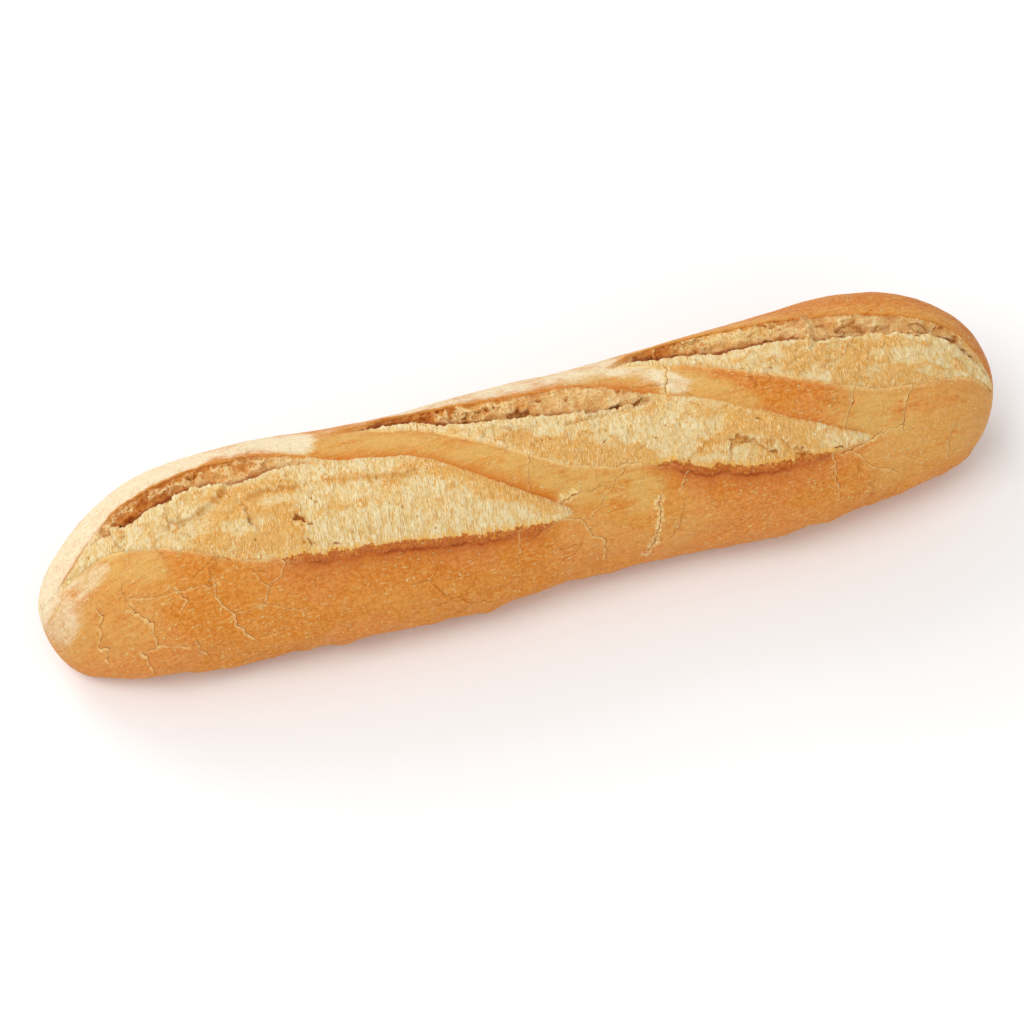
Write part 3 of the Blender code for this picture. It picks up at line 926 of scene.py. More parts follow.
@dataclass(frozen=True)
class Crust:
    """The whole baked loaf, with a pocket under each cut that its torn crumb fills."""

    skin: Skin
    spacing: float = 0.42  # of the grid over the scored top
    side_spacing: float = 0.75
    scored: tuple[float, float] = (46.0, -34.0)  # girths between which the top is scored
    base_columns: int = 16
    tip_zone: float = 14.0  # length at each tip over which the rings close up
    pocket: float = 2.0  # depth of the pocket's floor under the crumb
    dimpled: tuple[float, float] = (36.0, 46.0)  # girths, near and far, from which the sides are dimpled
    full_reach: float = 82.0  # girth of a full section's side, for which the columns are laid out
    most_triangles: int = 196_000

    def stations(self) -> Field:
        """Stations of the rings, closing up like a quarter circle at each tip."""
        half = self.skin.length / 2
        count = int(self.tip_zone / self.spacing)
        inset = self.tip_zone * (1 - np.cos(0.5 * np.pi * np.arange(1, count + 1) / count))
        body = np.arange(-half + self.tip_zone, half - self.tip_zone, self.spacing)[1:]
        return np.concatenate([-half + inset, body, (half - inset)[::-1]])

    def columns(self) -> Field:
        """Girths of the columns on a full section, near to far, close together over the cuts."""
        near = np.arange(self.full_reach, self.scored[0], -self.side_spacing)
        top = np.arange(*self.scored, -self.spacing)
        far = np.arange(self.scored[1], -self.full_reach, -self.side_spacing)
        return np.concatenate([near, top, far, [-self.full_reach]])

    def over_cut(self, cut: Cut, x: Field, girth: Field, marks: dict[str, Field]) -> tuple[Field, Field]:
        """What one cut does to the crust: height, and how far the skin is drawn round the girth.

        Outside the cut the crust eases up to its torn edge. Inside, it turns under the ear, drops
        to a pocket floor under the crumb, and comes up again just inside the near edge.

        Args:
            cut: the cut.
            x: stations, n by 1.
            girth: n by m girths.
            marks: strengths of colour, added to in place.

        Returns:
            Height and shift, each n by m.
        """
        far, near = cut.edges(x)
        width = near - far
        strength = cut.strength(x, width)
        hang, inset, beyond = cut.hang(x), girth - far, girth - near
        lip, floury = cut.rims(x)
        out_near, out_far = np.maximum(beyond, 0), np.maximum(-inset, 0)
        out_near = out_near / np.hypot(1, np.gradient(cut.near_edge.at(x), x[:, 0], axis=0))
        out_far = out_far / np.hypot(1, np.gradient(cut.far_edge.at(x), x[:, 0], axis=0))
        past = out_near - cut.overhang(x)

        curl = 0.35 * np.exp(-out_far / 9) + 0.65 * np.exp(-out_far / 2.6)
        flake = 0.35 * ease(1 - (out_far - 1.4) / 0.5) * hang
        ear = hang * (cut.ear_lift * curl - flake)
        shut = (1 - hang) * ease((x - cut.gape.end + 14) / 12)
        crease = shut * (1.2 * np.exp(-out_far / 9) - 1.8 * np.exp(-out_far / 1.8))
        crest = (1 - hang) * ease((cut.gape.start + 22 - x) / 12)
        pushed = 0.8 * np.exp(-out_near / 7) - 0.35 * hump((past - 0.3) / 0.7)
        rim = 0.9 * np.exp(-out_near / 6) - 0.6 * hump((past - 0.2) / 0.8)
        near_side = lip * pushed + floury * rim * (1 - lip) + 0.12 * np.exp(-out_near / 2)
        far_side = ear + crease + 1.1 * crest * np.exp(-out_far / 1.6)

        fit = fitted(width, FULL_WIDTH)
        deep = inset / fit
        knots = (0.0, 0.35, 0.8, 1.5, 2.4, 3.4, 6.0)
        turned = fit * np.interp(deep, knots, (0.0, 0.3, 0.3, -1.6, -2.8, -1.5, 6.0)) - inset
        fall_hung = np.interp(deep, knots, (0.0, 0.05, 0.26, 0.36, 0.75, 1.0, 1.0))
        fall_plain = np.interp(inset, (0.0, 0.3, 1.0), (0.0, 0.15, 1.0))
        fall_far = blend(fall_plain, fall_hung, hang)
        fall_near = np.interp(-beyond, (0.0, 0.25, 0.9), (0.0, 0.2, 1.0))
        first_half = inset < 0.5 * width
        within = (inset > 0) & (beyond < 0) & (strength > 0)
        floor = cut.crumb(x, inset, width) - self.pocket
        inner = np.where(first_half, blend(far_side, floor, fall_far), blend(near_side, floor, fall_near))
        outer = np.where(first_half, far_side, near_side)
        height = np.where(within, inner, outer) * strength
        shift = np.where(within & first_half, turned * hang, 0) * strength * (deep < knots[-1])

        bare = np.where(first_half, ease((deep - 1.1 * hang) / 0.6), ease(-beyond / 0.4))
        marks["torn"] += np.where(within, bare, 0) * strength
        eared = hang * np.exp(-out_far / 0.5) + crest * np.exp(-out_far / 0.8)
        marks["ear"] += strength * eared * (inset < 2 * fit)
        marks["lip"] += strength * lip * np.exp(-np.abs(past - 0.4) / 2.6) * (beyond > -1)
        # Painted shadow: a dark line on the crust just below the browned lip, where the lip casts its shade
        marks["groove"] += strength * lip * hump((past - 0.25) / 0.4) * (beyond > 0)
        marks["frayed"] += strength * hang * ease(1.2 - out_far / (cut.frayed + 0.01)) * first_half
        # Painted shade in the crease along a shut far edge
        marks["crease"] += cut.browned * strength * shut * np.exp(-out_far / 1.7) * (beyond < 0)
        mealy = np.exp(-np.maximum(past, 0) / 0.5) * (beyond > -1) * (inset > width / 2)
        marks["rim"] += strength * (1 - lip) * mealy
        return height, shift

    def cracked(self, x: Field, girth: Field, marks: dict[str, Field]) -> Field:
        """Depth of the cracks: a rounded groove, with the crust curling up beside it.

        Args:
            x: stations, n by 1.
            girth: n by m girths.
            marks: strengths of colour, added to in place.

        Returns:
            Height, n by m.
        """
        at = pairs(x, girth)
        at = at + 0.8 * waver(at, 3.0, 41) + 0.3 * waver(at, 1.1, 43)
        height = np.zeros(girth.shape)
        nearest = np.full(girth.shape, 99.0)
        flake = layered(at, (1.6, 2.4), 2, 45)
        for crack in CRACKS:
            apart, side = crack.route.near(at)
            spread = crack.kind.half_width + 0.25
            height -= crack.kind.depth * hump(apart / spread)
            closer = apart < nearest
            nearest = np.where(closer, apart, nearest)
            open_here = crack.kind.half_width * ease(2.2 - apart)
            marks["gap"] = np.where(closer, open_here, marks["gap"])
            marks["side"] = np.where(closer, np.clip(side, -3, 3), marks["side"])
            # Painted highlight: a pale line along one side of each crack, where light catches its edge
            marks["rim"] += crack.kind.pale * hump((side - spread + 0.05) / 0.3) * (apart < 1.6)
            if crack.kind is Split.GAPING:
                torn = ease(1.25 - apart / 1.5 + 1.2 * flake)
                marks["flaky"] = np.maximum(marks["flaky"], torn)
                height += torn * (0.35 + 0.5 * flake)
        return height

    def tinted(self, x: Field, girth: Field, marks: dict[str, Field]) -> None:
        """Marks the stretches that the oven and flour coloured otherwise, and those with painted highlight.

        Args:
            x: stations, n by 1.
            girth: n by m girths.
            marks: strengths of colour, added to in place.
        """
        at = pairs(x, girth)
        at = at + 3.0 * waver(at, 13, 51)
        at = at + 1.6 * waver(at, (9, 3), 53)
        for tint in TINTS:
            apart = tint.route.near(at)[0] / tint.radius
            mark = marks[tint.tone.value]
            np.maximum(mark, tint.strength * ease(1.35 - apart), out=mark)

    def build(self, finish: bpy.types.Material) -> bpy.types.Object:
        """Lays out the grid, adds every relief, and thins the mesh where it is smooth.

        Args:
            finish: the crust's material.

        Returns:
            The crust.
        """
        stations = self.stations()
        x = stations[:, None]
        near_reach, far_reach = self.skin.reach(stations)
        share = np.where(self.columns() > 0, near_reach[:, None], far_reach[:, None]) / self.full_reach
        girth = self.columns() * share
        marks = {name: np.zeros(girth.shape) for name in CRUST_MARKS}
        height, shift = self.cracked(x, girth, marks), np.zeros(girth.shape)
        self.tinted(x, girth, marks)
        for cut in CUTS:
            lift, slide = self.over_cut(cut, x, girth, marks)
            height, shift = height + lift, shift + slide
        covered = np.clip(marks["torn"], 0, 1)
        points, out = self.skin.place(stations, girth + shift)
        low = ease((np.abs(girth) - np.where(girth > 0, *self.dimpled)) / 20)
        lumps = 0.5 * layered(points, 24, 2, 1) + 0.18 * layered(points, 7, 2, 3)
        lumps = lumps + 2.0 * low * layered(points, 14, 3, 9)
        grain = 0.06 * layered(points, 2.2, 2, 5) * (1 - covered)
        tips = ease((self.skin.length / 2 - np.abs(x)) / 5)
        points = points + out * ((height + lumps + grain) * tips)[..., None]
        # Flour and painted highlight: the pale tint fades out towards the bottom
        marks["dusty"] *= ease((points[..., 2] - 5 + 5 * rolling(points, 16, 55)) / 18)

        near_chine, far_chine = points[:, :1], points[:, -1:]
        along = (np.arange(1, self.base_columns + 1) / (self.base_columns + 1))[None, :, None]
        base = far_chine + (near_chine - far_chine) * along
        base[..., 2] += 0.25 * (1 + layered(base, 9, 3, 7)) * np.sin(np.pi * along[..., 0]) ** 0.5
        rings = np.concatenate([points, base], axis=1)
        rings[..., 2] = np.maximum(rings[..., 2], 0.0)

        unrolled = np.stack([*np.broadcast_arrays(x, girth), np.zeros(girth.shape)], axis=-1)
        wrap = girth[:, -1:] - (girth[:, :1] - girth[:, -1:]) * 0.2 * along[..., 0]
        under = np.stack([*np.broadcast_arrays(x, wrap), np.zeros(wrap.shape)], axis=-1)
        values = {"unrolled": np.concatenate([unrolled, under], axis=1)}
        for name, mark in marks.items():
            values[name] = np.concatenate([mark if name == "side" else np.clip(mark, 0, 1), 0 * wrap], axis=1)
        crust = Tube("crust", rings, values).build(finish)
        thin(crust, self.most_triangles)
        return crust


# -------------------------------------------------------------------------------- the crumb


@dataclass(frozen=True)
class Crumb:
    """The torn crumb in one cut: fibres, pores and a bubbly wall under the ear."""

    skin: Skin
    cut: Cut
    spacing: float = 0.31
    columns: int = 165
    under_columns: int = 8
    thickness: float = 3.2
    inset: float = 0.8  # length left out at each end of the cut, where it is shut

    def profile(self, x: Field) -> tuple[Field, Field, Field, Field]:
        """Girths and heights across the cut, spread evenly along each profile.

        Args:
            x: stations, n of them.

        Returns:
            Girth, height, inset from the far rim, and width of the cut, each n by columns but the
            last, which is n by 1.
        """
        far, near = self.cut.edges(x[:, None])
        width = np.maximum(near - far, 0.4)
        fit, over = fitted(width, FULL_WIDTH), self.cut.overhang(x[:, None])
        share = np.linspace(0, 1, 4 * self.columns)[None, :]
        inset = -1.7 * fit + (width + over + 2.9 * fit) * share
        height = self.cut.crumb(x[:, None], inset, width)
        past = inset - width - over
        height = height - 2.4 * ease(0.5 + past / (1.3 * fit)) * self.cut.strength(x[:, None], width)
        run = np.cumsum(np.hypot(np.diff(inset, axis=1), np.diff(height, axis=1)), axis=1)
        run = np.concatenate([np.zeros_like(width), run], axis=1)
        even = run[:, -1:] * np.linspace(0, 1, self.columns)[None, :]
        row = self.skin.apart * np.arange(len(x))[:, None]
        table, wanted = (run + row).ravel(), even + row
        inset, height = np.interp(wanted, table, inset.ravel()), np.interp(wanted, table, height.ravel())
        return far + inset, height, inset, width

    def build(self, finish: bpy.types.Material) -> bpy.types.Object:
        """Carries the profile along the cut and roughens it into torn crumb.

        Args:
            finish: the crumb's material.

        Returns:
            The crumb of this cut.
        """
        cut, salt = self.cut, self.cut.salt
        stations = np.arange(cut.start + self.inset, cut.end - self.inset, self.spacing)
        girth, height, inset, width = self.profile(stations)
        x = np.broadcast_to(stations[:, None], girth.shape)
        hang = cut.hang(stations[:, None])
        ledge = cut.ledge(stations[:, None], width)
        short = fitted(ledge, FULL_LEDGE)
        stray = inset + cut.ragged(x, inset) * short
        cave = hang * (1 - ease((stray - ledge + 0.9 * short) / (1.2 * short)))
        flat = pairs(x, girth)
        points, out = self.skin.place(stations, girth)
        plain = points + out * height[..., None]
        over = cut.overhang(stations[:, None])
        beyond = inset - width - over
        open_air = (1 - cave) * cut.strength(x, width)
        stringy = np.clip(cut.fibrous.at(x) + 0.5 * layered(flat, 18, 2, salt + 10), 0, 1)

        # The noises that the relief and the colours share: fibres, then grains, then cells
        slant = x + 0.12 * girth + 1.2 * rolling(flat, (9, 7), salt + 19)
        lie = pairs(slant + 0.5 * rolling(flat, 2.5, salt + 23), girth)
        fibres = 0.8 * rolling(lie, (1.7, 7.0), salt + 11) + 0.7 * rolling(lie, (0.9, 4.5), salt + 12)
        fibres = fibres + 0.4 * rolling(lie, (0.5, 2.4), salt + 24)
        shaken = flat + 1.1 * waver(flat, 2.2, salt + 27)
        tufts = layered(flat, (3.2, 6.0), 3, salt + 13)
        swells = layered(flat, (14, 9), 2, salt + 14)
        crests = (1 - np.abs(layered(shaken, (11, 7), 2, salt + 20))) ** 6
        grains = layered(flat, 1.1, 2, salt + 18)
        crumbs = 1.2 - 2.0 * bubbles(flat, 1.3, salt + 26)[0]
        pick, way = bubbles(shaken, (3.6, 5.2), salt + 29)[1:]
        turn = 2.0 * pick - 0.4
        flaps = (way[..., 1] * np.cos(turn) + way[..., 0] * np.sin(turn)) * ease(2.6 * pick)
        pick, way = bubbles(shaken, (1.7, 2.4), salt + 30)[1:]
        flaps = flaps + 0.4 * (way[..., 1] * np.cos(6 * pick) + way[..., 0] * np.sin(6 * pick))
        dots, pick = bubbles(flat + 0.5 * tufts[..., None], 3.4, salt + 15)[:2]
        pores = np.where(pick > 0.94, ease((0.12 + 0.9 * (pick - 0.94) - dots) / 0.1), 0.0)
        bent = plain + 1.1 * waver(plain, 2.4, salt + 34)
        big_cells, big_pick = bubbles(bent, (7.0, 5.0, 4.0), salt + 25)[:2]
        cells, cell_pick = bubbles(bent, 2.6, salt + 16)[:2]
        cells = np.where(big_pick > 0.45, big_cells + 0.1 * cells, cells)
        small_cells = bubbles(plain, 1.3, salt + 22)[0]
        flakes = rolling(pairs(x, height), (7.0, 0.9), salt + 17)
        lip, floury = cut.rims(x)
        strip = hump((beyond + 0.9) / 0.9) * ease(0.7 + 0.9 * rolling(flat, (4.0, 9.0), salt + 31))
        mealy = floury * (1 - lip) * strip
        inner = 0.9 * grains + 1.1 * tufts - beyond - 1.9 + 4.0 * (1 - lip)
        edge = ease(4 * lip) * ease(1.1 - np.maximum(inner, 0) / 1.4)
        fringe = ease(4 * lip) * hump((inner - 1.3) / 0.8)

        # Relief: on the crumb in the open air, on the crevice's wall, along the near rim, in the pits
        brim = hang * open_air * hump((stray - ledge - 0.9 * short) / (1.2 * short))
        fine = (0.3 + 0.7 * stringy + brim) * 0.26 * fibres + 0.2 * (1.3 - stringy) * grains - 0.5 * pores
        relief = 0.45 * swells + 0.3 * tufts + (0.9 - 0.6 * stringy) * (crests - 0.3) + fine
        relief = (relief + (0.3 - 0.15 * stringy) * flaps) * (1 - 0.5 * np.clip(brim, 0, 1))
        frayed = shaken + 0.5 * waver(flat, 0.9, salt + 32)
        folded = sum((fold.relief(frayed) for fold in cut.folds), 0 * x) * (1 + 0.5 * tufts)
        hole = ease((np.where(big_pick > 0.45, 0.30, 0.46) - cells) / 0.16) * (cell_pick > 0.72)
        wall = 1.8 * (cells**2 - 0.3) + 0.5 * (small_cells**2 - 0.3) + 0.45 * flakes - 0.9 * hole
        wall = wall * ease(0.2 + inset / 1.6)
        flush = 1 - 0.8 * (1 - hang) * np.exp(-np.maximum(inset, 0) / 2.0)
        relief = open_air * relief * flush + cave * wall + (open_air * flush + cave) * folded + 0.12 * grains
        relief = relief + mealy * (0.25 + 0.4 * crumbs + 0.3 * fibres)
        relief = relief + edge * (0.1 + 0.15 * crumbs + 0.15 * grains)
        hollow, shaded, glint = 0 * x, 0 * x, 0 * x
        for pit in cut.pits:
            share = pit.share(shaken)
            relief, hollow = relief - pit.depth * share, hollow + pit.dark * share
        ends = ease((np.minimum(x - cut.start, cut.end - x)) / 6)
        rough = plain + facing(plain) * (relief * ends)[..., None]

        # The plain underside, which closes each ring below the crust
        down = np.linspace(0, 1, self.under_columns + 2)[1:-1][None, :, None]
        sunk = self.thickness * np.sin(np.pi * down) ** 0.5
        spread = np.linspace(self.columns - 1, 0, self.under_columns + 2)[1:-1].astype(int)
        below = plain[:, spread] - out[:, spread] * sunk
        rings = np.concatenate([rough, below], axis=1)[:, ::-1]

        # Strengths of colour
        heat = cut.toasted.at(x) + 0.9 * layered(lie, (13, 7), 3, salt + 21) + 0.3 * tufts
        heat = heat + 0.7 * (crests - 0.3) * (1.2 - stringy) + 0.3 * flaps - 0.6 * brim
        for fold in cut.folds:
            band = hump(fold.route.near(shaken)[0] / (1.5 * fold.half_width))
            heat = heat + fold.toast * band * (0.75 + 0.5 * tufts)
            shade, light = fold.lit(frayed)
            shaded = np.maximum(shaded, shade * ease(0.75 + 0.9 * tufts))
            glint = np.maximum(glint, light * ease(0.5 + 1.2 * fibres))
        # Painted shade: a band of the crevice's wall is browned where a look down past the crumb's edge, at a
        # slant that changes with the girth, grazes it
        rim_girth = girth - inset + ledge
        steep = 1 / np.tan(np.clip(0.59 - rim_girth / 35, 0.35, 1.45))
        sight = 0.9 * cut.crown - height - steep * (ledge + 0.5 * short - stray)
        amber = cut.amber.at(x) + 0.3 * flakes + 0.9 * np.exp(-np.maximum(inset, 0) / 1.6)
        marks = {
            "toast": ease(heat) * open_air,
            "cave": cave,
            # painted shade along the crevice, about where the crumb's edge hides its wall
            "deep": hang * cave * hump((sight + 0.1) / 1.1),
            "amber": np.clip(amber, 0, 1.3),
            "mealy": np.clip(mealy, 0, 1),
            "edge": np.clip(edge, 0, 1),
            "fringe": np.clip(fringe, 0, 1),
            "shaded": np.clip(shaded, 0, 1) * open_air,
            "glint": np.clip(glint * open_air, 0, 1),
            # painted shade inside the pores, the wall's holes and the pits
            "pore_shade": np.clip(0.7 * pores * open_air + 0.8 * hole * cave + hollow, 0, 1),
            # painted shade: darker the lower the crevice's wall lies
            "low": ease((0.4 - height) / 3.6) * cave,
            "stringy": np.clip(stringy + brim, 0, 1),
            # painted highlight: the higher fine relief is drawn lighter, its gaps darker
            "raised_highlight": np.clip(0.5 + 0.6 * (fibres * stringy + tufts * 0.5 + flaps + grains * 0.5), 0, 1),
            # painted shade in each cell's hollow; pale membranes between cells, partly painted highlight
            "cell": ease((cells - 0.25) / 0.5),
            "web": ease((cells - 0.56) / 0.18) * ease(inset / 1.5),
            "warm": cell_pick,
        }
        values = {"unrolled": np.stack([x, girth, 0 * girth], axis=-1), **marks}
        values = {n: np.concatenate([v, v[:, spread]], axis=1)[:, ::-1] for n, v in values.items()}
        return Tube(f"crumb_{cut.name}", rings, values).build(finish)


# --------------------------------------------------------------------------------- finishes


SEAM_WAVER = 3.0  # width, in mm, of the noise that shakes a network of seams
SHEEN = 0.15  # specular level of bread


@dataclass(frozen=True)
class Wire:
    """One value in a material: arithmetic on it adds Math nodes."""

    bench: Bench
    socket: bpy.types.NodeSocket

    def _math(self, operation: str, *values: Wire | float, clamp: bool = False) -> Wire:
        """The value that a Math node makes of others."""
        settings = {"operation": operation, "use_clamp": clamp}
        return self.bench.add("ShaderNodeMath", settings, dict(enumerate(values))).out("Value")

    def __add__(self, other: Wire | float) -> Wire:
        """Sum."""
        return self._math("ADD", self, other)

    def __radd__(self, other: float) -> Wire:
        """Sum, reflected."""
        return self._math("ADD", other, self)

    def __sub__(self, other: Wire | float) -> Wire:
        """Difference."""
        return self._math("SUBTRACT", self, other)

    def __rsub__(self, other: float) -> Wire:
        """Difference, reflected."""
        return self._math("SUBTRACT", other, self)

    def __mul__(self, other: Wire | float) -> Wire:
        """Product."""
        return self._math("MULTIPLY", self, other)

    def __rmul__(self, other: float) -> Wire:
        """Product, reflected."""
        return self._math("MULTIPLY", other, self)

    def __truediv__(self, other: Wire | float) -> Wire:
        """Quotient."""
        return self._math("DIVIDE", self, other)

    def size(self) -> Wire:
        """The value without its sign."""
        return self._math("ABSOLUTE", self)

    def held(self) -> Wire:
        """The value, held between 0 and 1."""
        return self._math("ADD", self, 0.0, clamp=True)

    def between(self, low: float, high: float) -> Wire:
        """0 at low, 1 at high, easing between; low may be the greater one."""
        settings = {"interpolation_type": "SMOOTHSTEP"}
        inputs = {"Value": self, "From Min": low, "From Max": high}
        return self.bench.add("ShaderNodeMapRange", settings, inputs).out("Result")


@dataclass(frozen=True)
class Made:
    """A node that was added, for reading its outputs."""

    bench: Bench
    node: bpy.types.Node

    def out(self, name: str) -> Wire:
        """One of its outputs."""
        return Wire(self.bench, self.node.outputs[name])


class Bench:
    """The node tree of one material, and the only place where nodes are made."""

    def __init__(self, name: str) -> None:
        """Starts a material with a Principled shader."""
        self.material = bpy.data.materials.new(name)
        self.material.use_nodes = True
        self.tree = self.material.node_tree
        self.shader = self.tree.nodes["Principled BSDF"]
        self.places = self.add("ShaderNodeTexCoord").out("Object")

    def add(self, kind: str, settings: dict | None = None, inputs: dict | None = None) -> Made:
        """Adds a node.

        Args:
            kind: its type.
            settings: its properties, set first.
            inputs: values or wires for its sockets, by name or number.

        Returns:
            The node.
        """
        node = self.tree.nodes.new(kind)
        for name, value in (settings or {}).items():
            setattr(node, name, value)
        for name, value in (inputs or {}).items():
            self.plug(node.inputs[name], value)
        return Made(self, node)

    def plug(self, socket: bpy.types.NodeSocket, value: Wire | float | tuple) -> None:
        """Links a wire to a socket, or sets the socket's own value."""
        if isinstance(value, Wire):
            self.tree.links.new(value.socket, socket)
        else:
            socket.default_value = value

    def mark(self, name: str) -> Wire:
        """A number that the mesh carries."""
        return self.add("ShaderNodeAttribute", {"attribute_name": name}).out("Fac")

    def noise(self, size: float, detail: float = 2.0, rough: float = 0.5) -> Wire:
        """Smooth noise from 0 to 1 whose hills are about size mm wide."""
        inputs = {"Vector": self.places, "Scale": 1 / (size * METRE), "Detail": detail, "Roughness": rough}
        return self.add("ShaderNodeTexNoise", {}, inputs).out("Fac")

    def skin(self) -> Wire:
        """The place's own (station, girth) on the unrolled skin, in mm."""
        return self.add("ShaderNodeAttribute", {"attribute_name": "unrolled"}).out("Vector")

    def strands(self, along: float, around: float, slant: float = 0.0, detail: float = 3.0) -> Wire:
        """Noise drawn out on the unrolled skin: hills so many mm wide along and round the loaf."""
        inputs = {"Vector": self.skin(), "Rotation": (0, 0, slant), "Scale": (along, around, 1)}
        drawn = self.add("ShaderNodeMapping", {"vector_type": "TEXTURE"}, inputs).out("Vector")
        inputs = {"Vector": drawn, "Scale": 1.0, "Detail": detail, "Distortion": 0.6}
        return self.add("ShaderNodeTexNoise", {}, inputs).out("Fac")

    def dots(self, size: float, flat: bool = False, drawn: float = 1.0) -> tuple[Wire, Wire]:
        """Scattered dots, one in each cell: the distance to the nearest, and its own random number.

        Args:
            size: width of a cell, in mm.
            flat: whether the cells lie in the unrolled skin, so that it cuts through every dot.
            drawn: how many times as long as wide the dots of the unrolled skin are.

        Returns:
            Distance, in mm, and number.
        """
        if flat:
            inputs = {0: self.skin(), 1: (1 / drawn, 1, 1)}
            squeezed = self.add("ShaderNodeVectorMath", {"operation": "MULTIPLY"}, inputs)
            inputs = {"Vector": squeezed.out("Vector"), "Scale": 1 / size}
            settings = {"voronoi_dimensions": "2D"}
        else:
            settings, inputs = {}, {"Vector": self.places, "Scale": 1 / (size * METRE)}
        cells = self.add("ShaderNodeTexVoronoi", settings, inputs)
        parts = self.add("ShaderNodeSeparateColor", {}, {0: cells.out("Color")})
        return cells.out("Distance") * size, Wire(self, parts.node.outputs[0])

    def seams(self, size: float, warp: float) -> Wire:
        """Distance, in mm, to the seams of a network of cells whose places are shaken by noise."""
        inputs = {"Vector": self.places, "Scale": 1 / (SEAM_WAVER * METRE)}
        shaken = self.add("ShaderNodeTexNoise", {}, inputs).out("Color")
        inputs = {0: shaken, "Scale": warp * METRE}
        off = self.add("ShaderNodeVectorMath", {"operation": "SCALE"}, inputs).out("Vector")
        moved = self.add("ShaderNodeVectorMath", {"operation": "ADD"}, {0: self.places, 1: off}).out("Vector")
        inputs = {"Vector": moved, "Scale": 1 / (size * METRE)}
        made = self.add("ShaderNodeTexVoronoi", {"feature": "DISTANCE_TO_EDGE"}, inputs)
        return made.out("Distance") * size

    def colour(self, under: Wire | tuple, over: Wire | tuple, share: Wire | float) -> Wire:
        """Two colours mixed."""
        inputs = {0: share, 6: under, 7: over}
        return Wire(self, self.add("ShaderNodeMix", {"data_type": "RGBA"}, inputs).node.outputs[2])

    def shade(self, under: Wire | tuple, factor: Wire | float, tone: tuple) -> Wire:
        """A colour multiplied by a tone, as far as factor says."""
        inputs = {0: factor, 6: under, 7: tone}
        made = self.add("ShaderNodeMix", {"data_type": "RGBA", "blend_type": "MULTIPLY"}, inputs)
        return Wire(self, made.node.outputs[2])

    def finish(self, colour: Wire, roughness: Wire | float, height: Wire, relief: float) -> None:
        """Wires up the shader.

        Args:
            colour: the base colour.
            roughness: the roughness.
            height: of the fine relief, 0 to 1.
            relief: what a height of 1 is worth, in mm.
        """
        inputs = {"Height": height, "Distance": relief * METRE, "Strength": 1.0}
        bump = self.add("ShaderNodeBump", {}, inputs).out("Normal")
        wires = {"Base Color": colour, "Roughness": roughness, "Normal": bump, "Specular IOR Level": SHEEN}
        for name, value in wires.items():
            self.plug(self.shader.inputs[name], value)


def srgb(red: int, green: int, blue: int) -> tuple[float, float, float, float]:
    """A colour given as 0 to 255 on a screen, as the light it stands for."""
    parts = (c / 255 for c in (red, green, blue))
    return (*(c / 12.92 if c <= 0.04045 else ((c + 0.055) / 1.055) ** 2.4 for c in parts), 1.0)


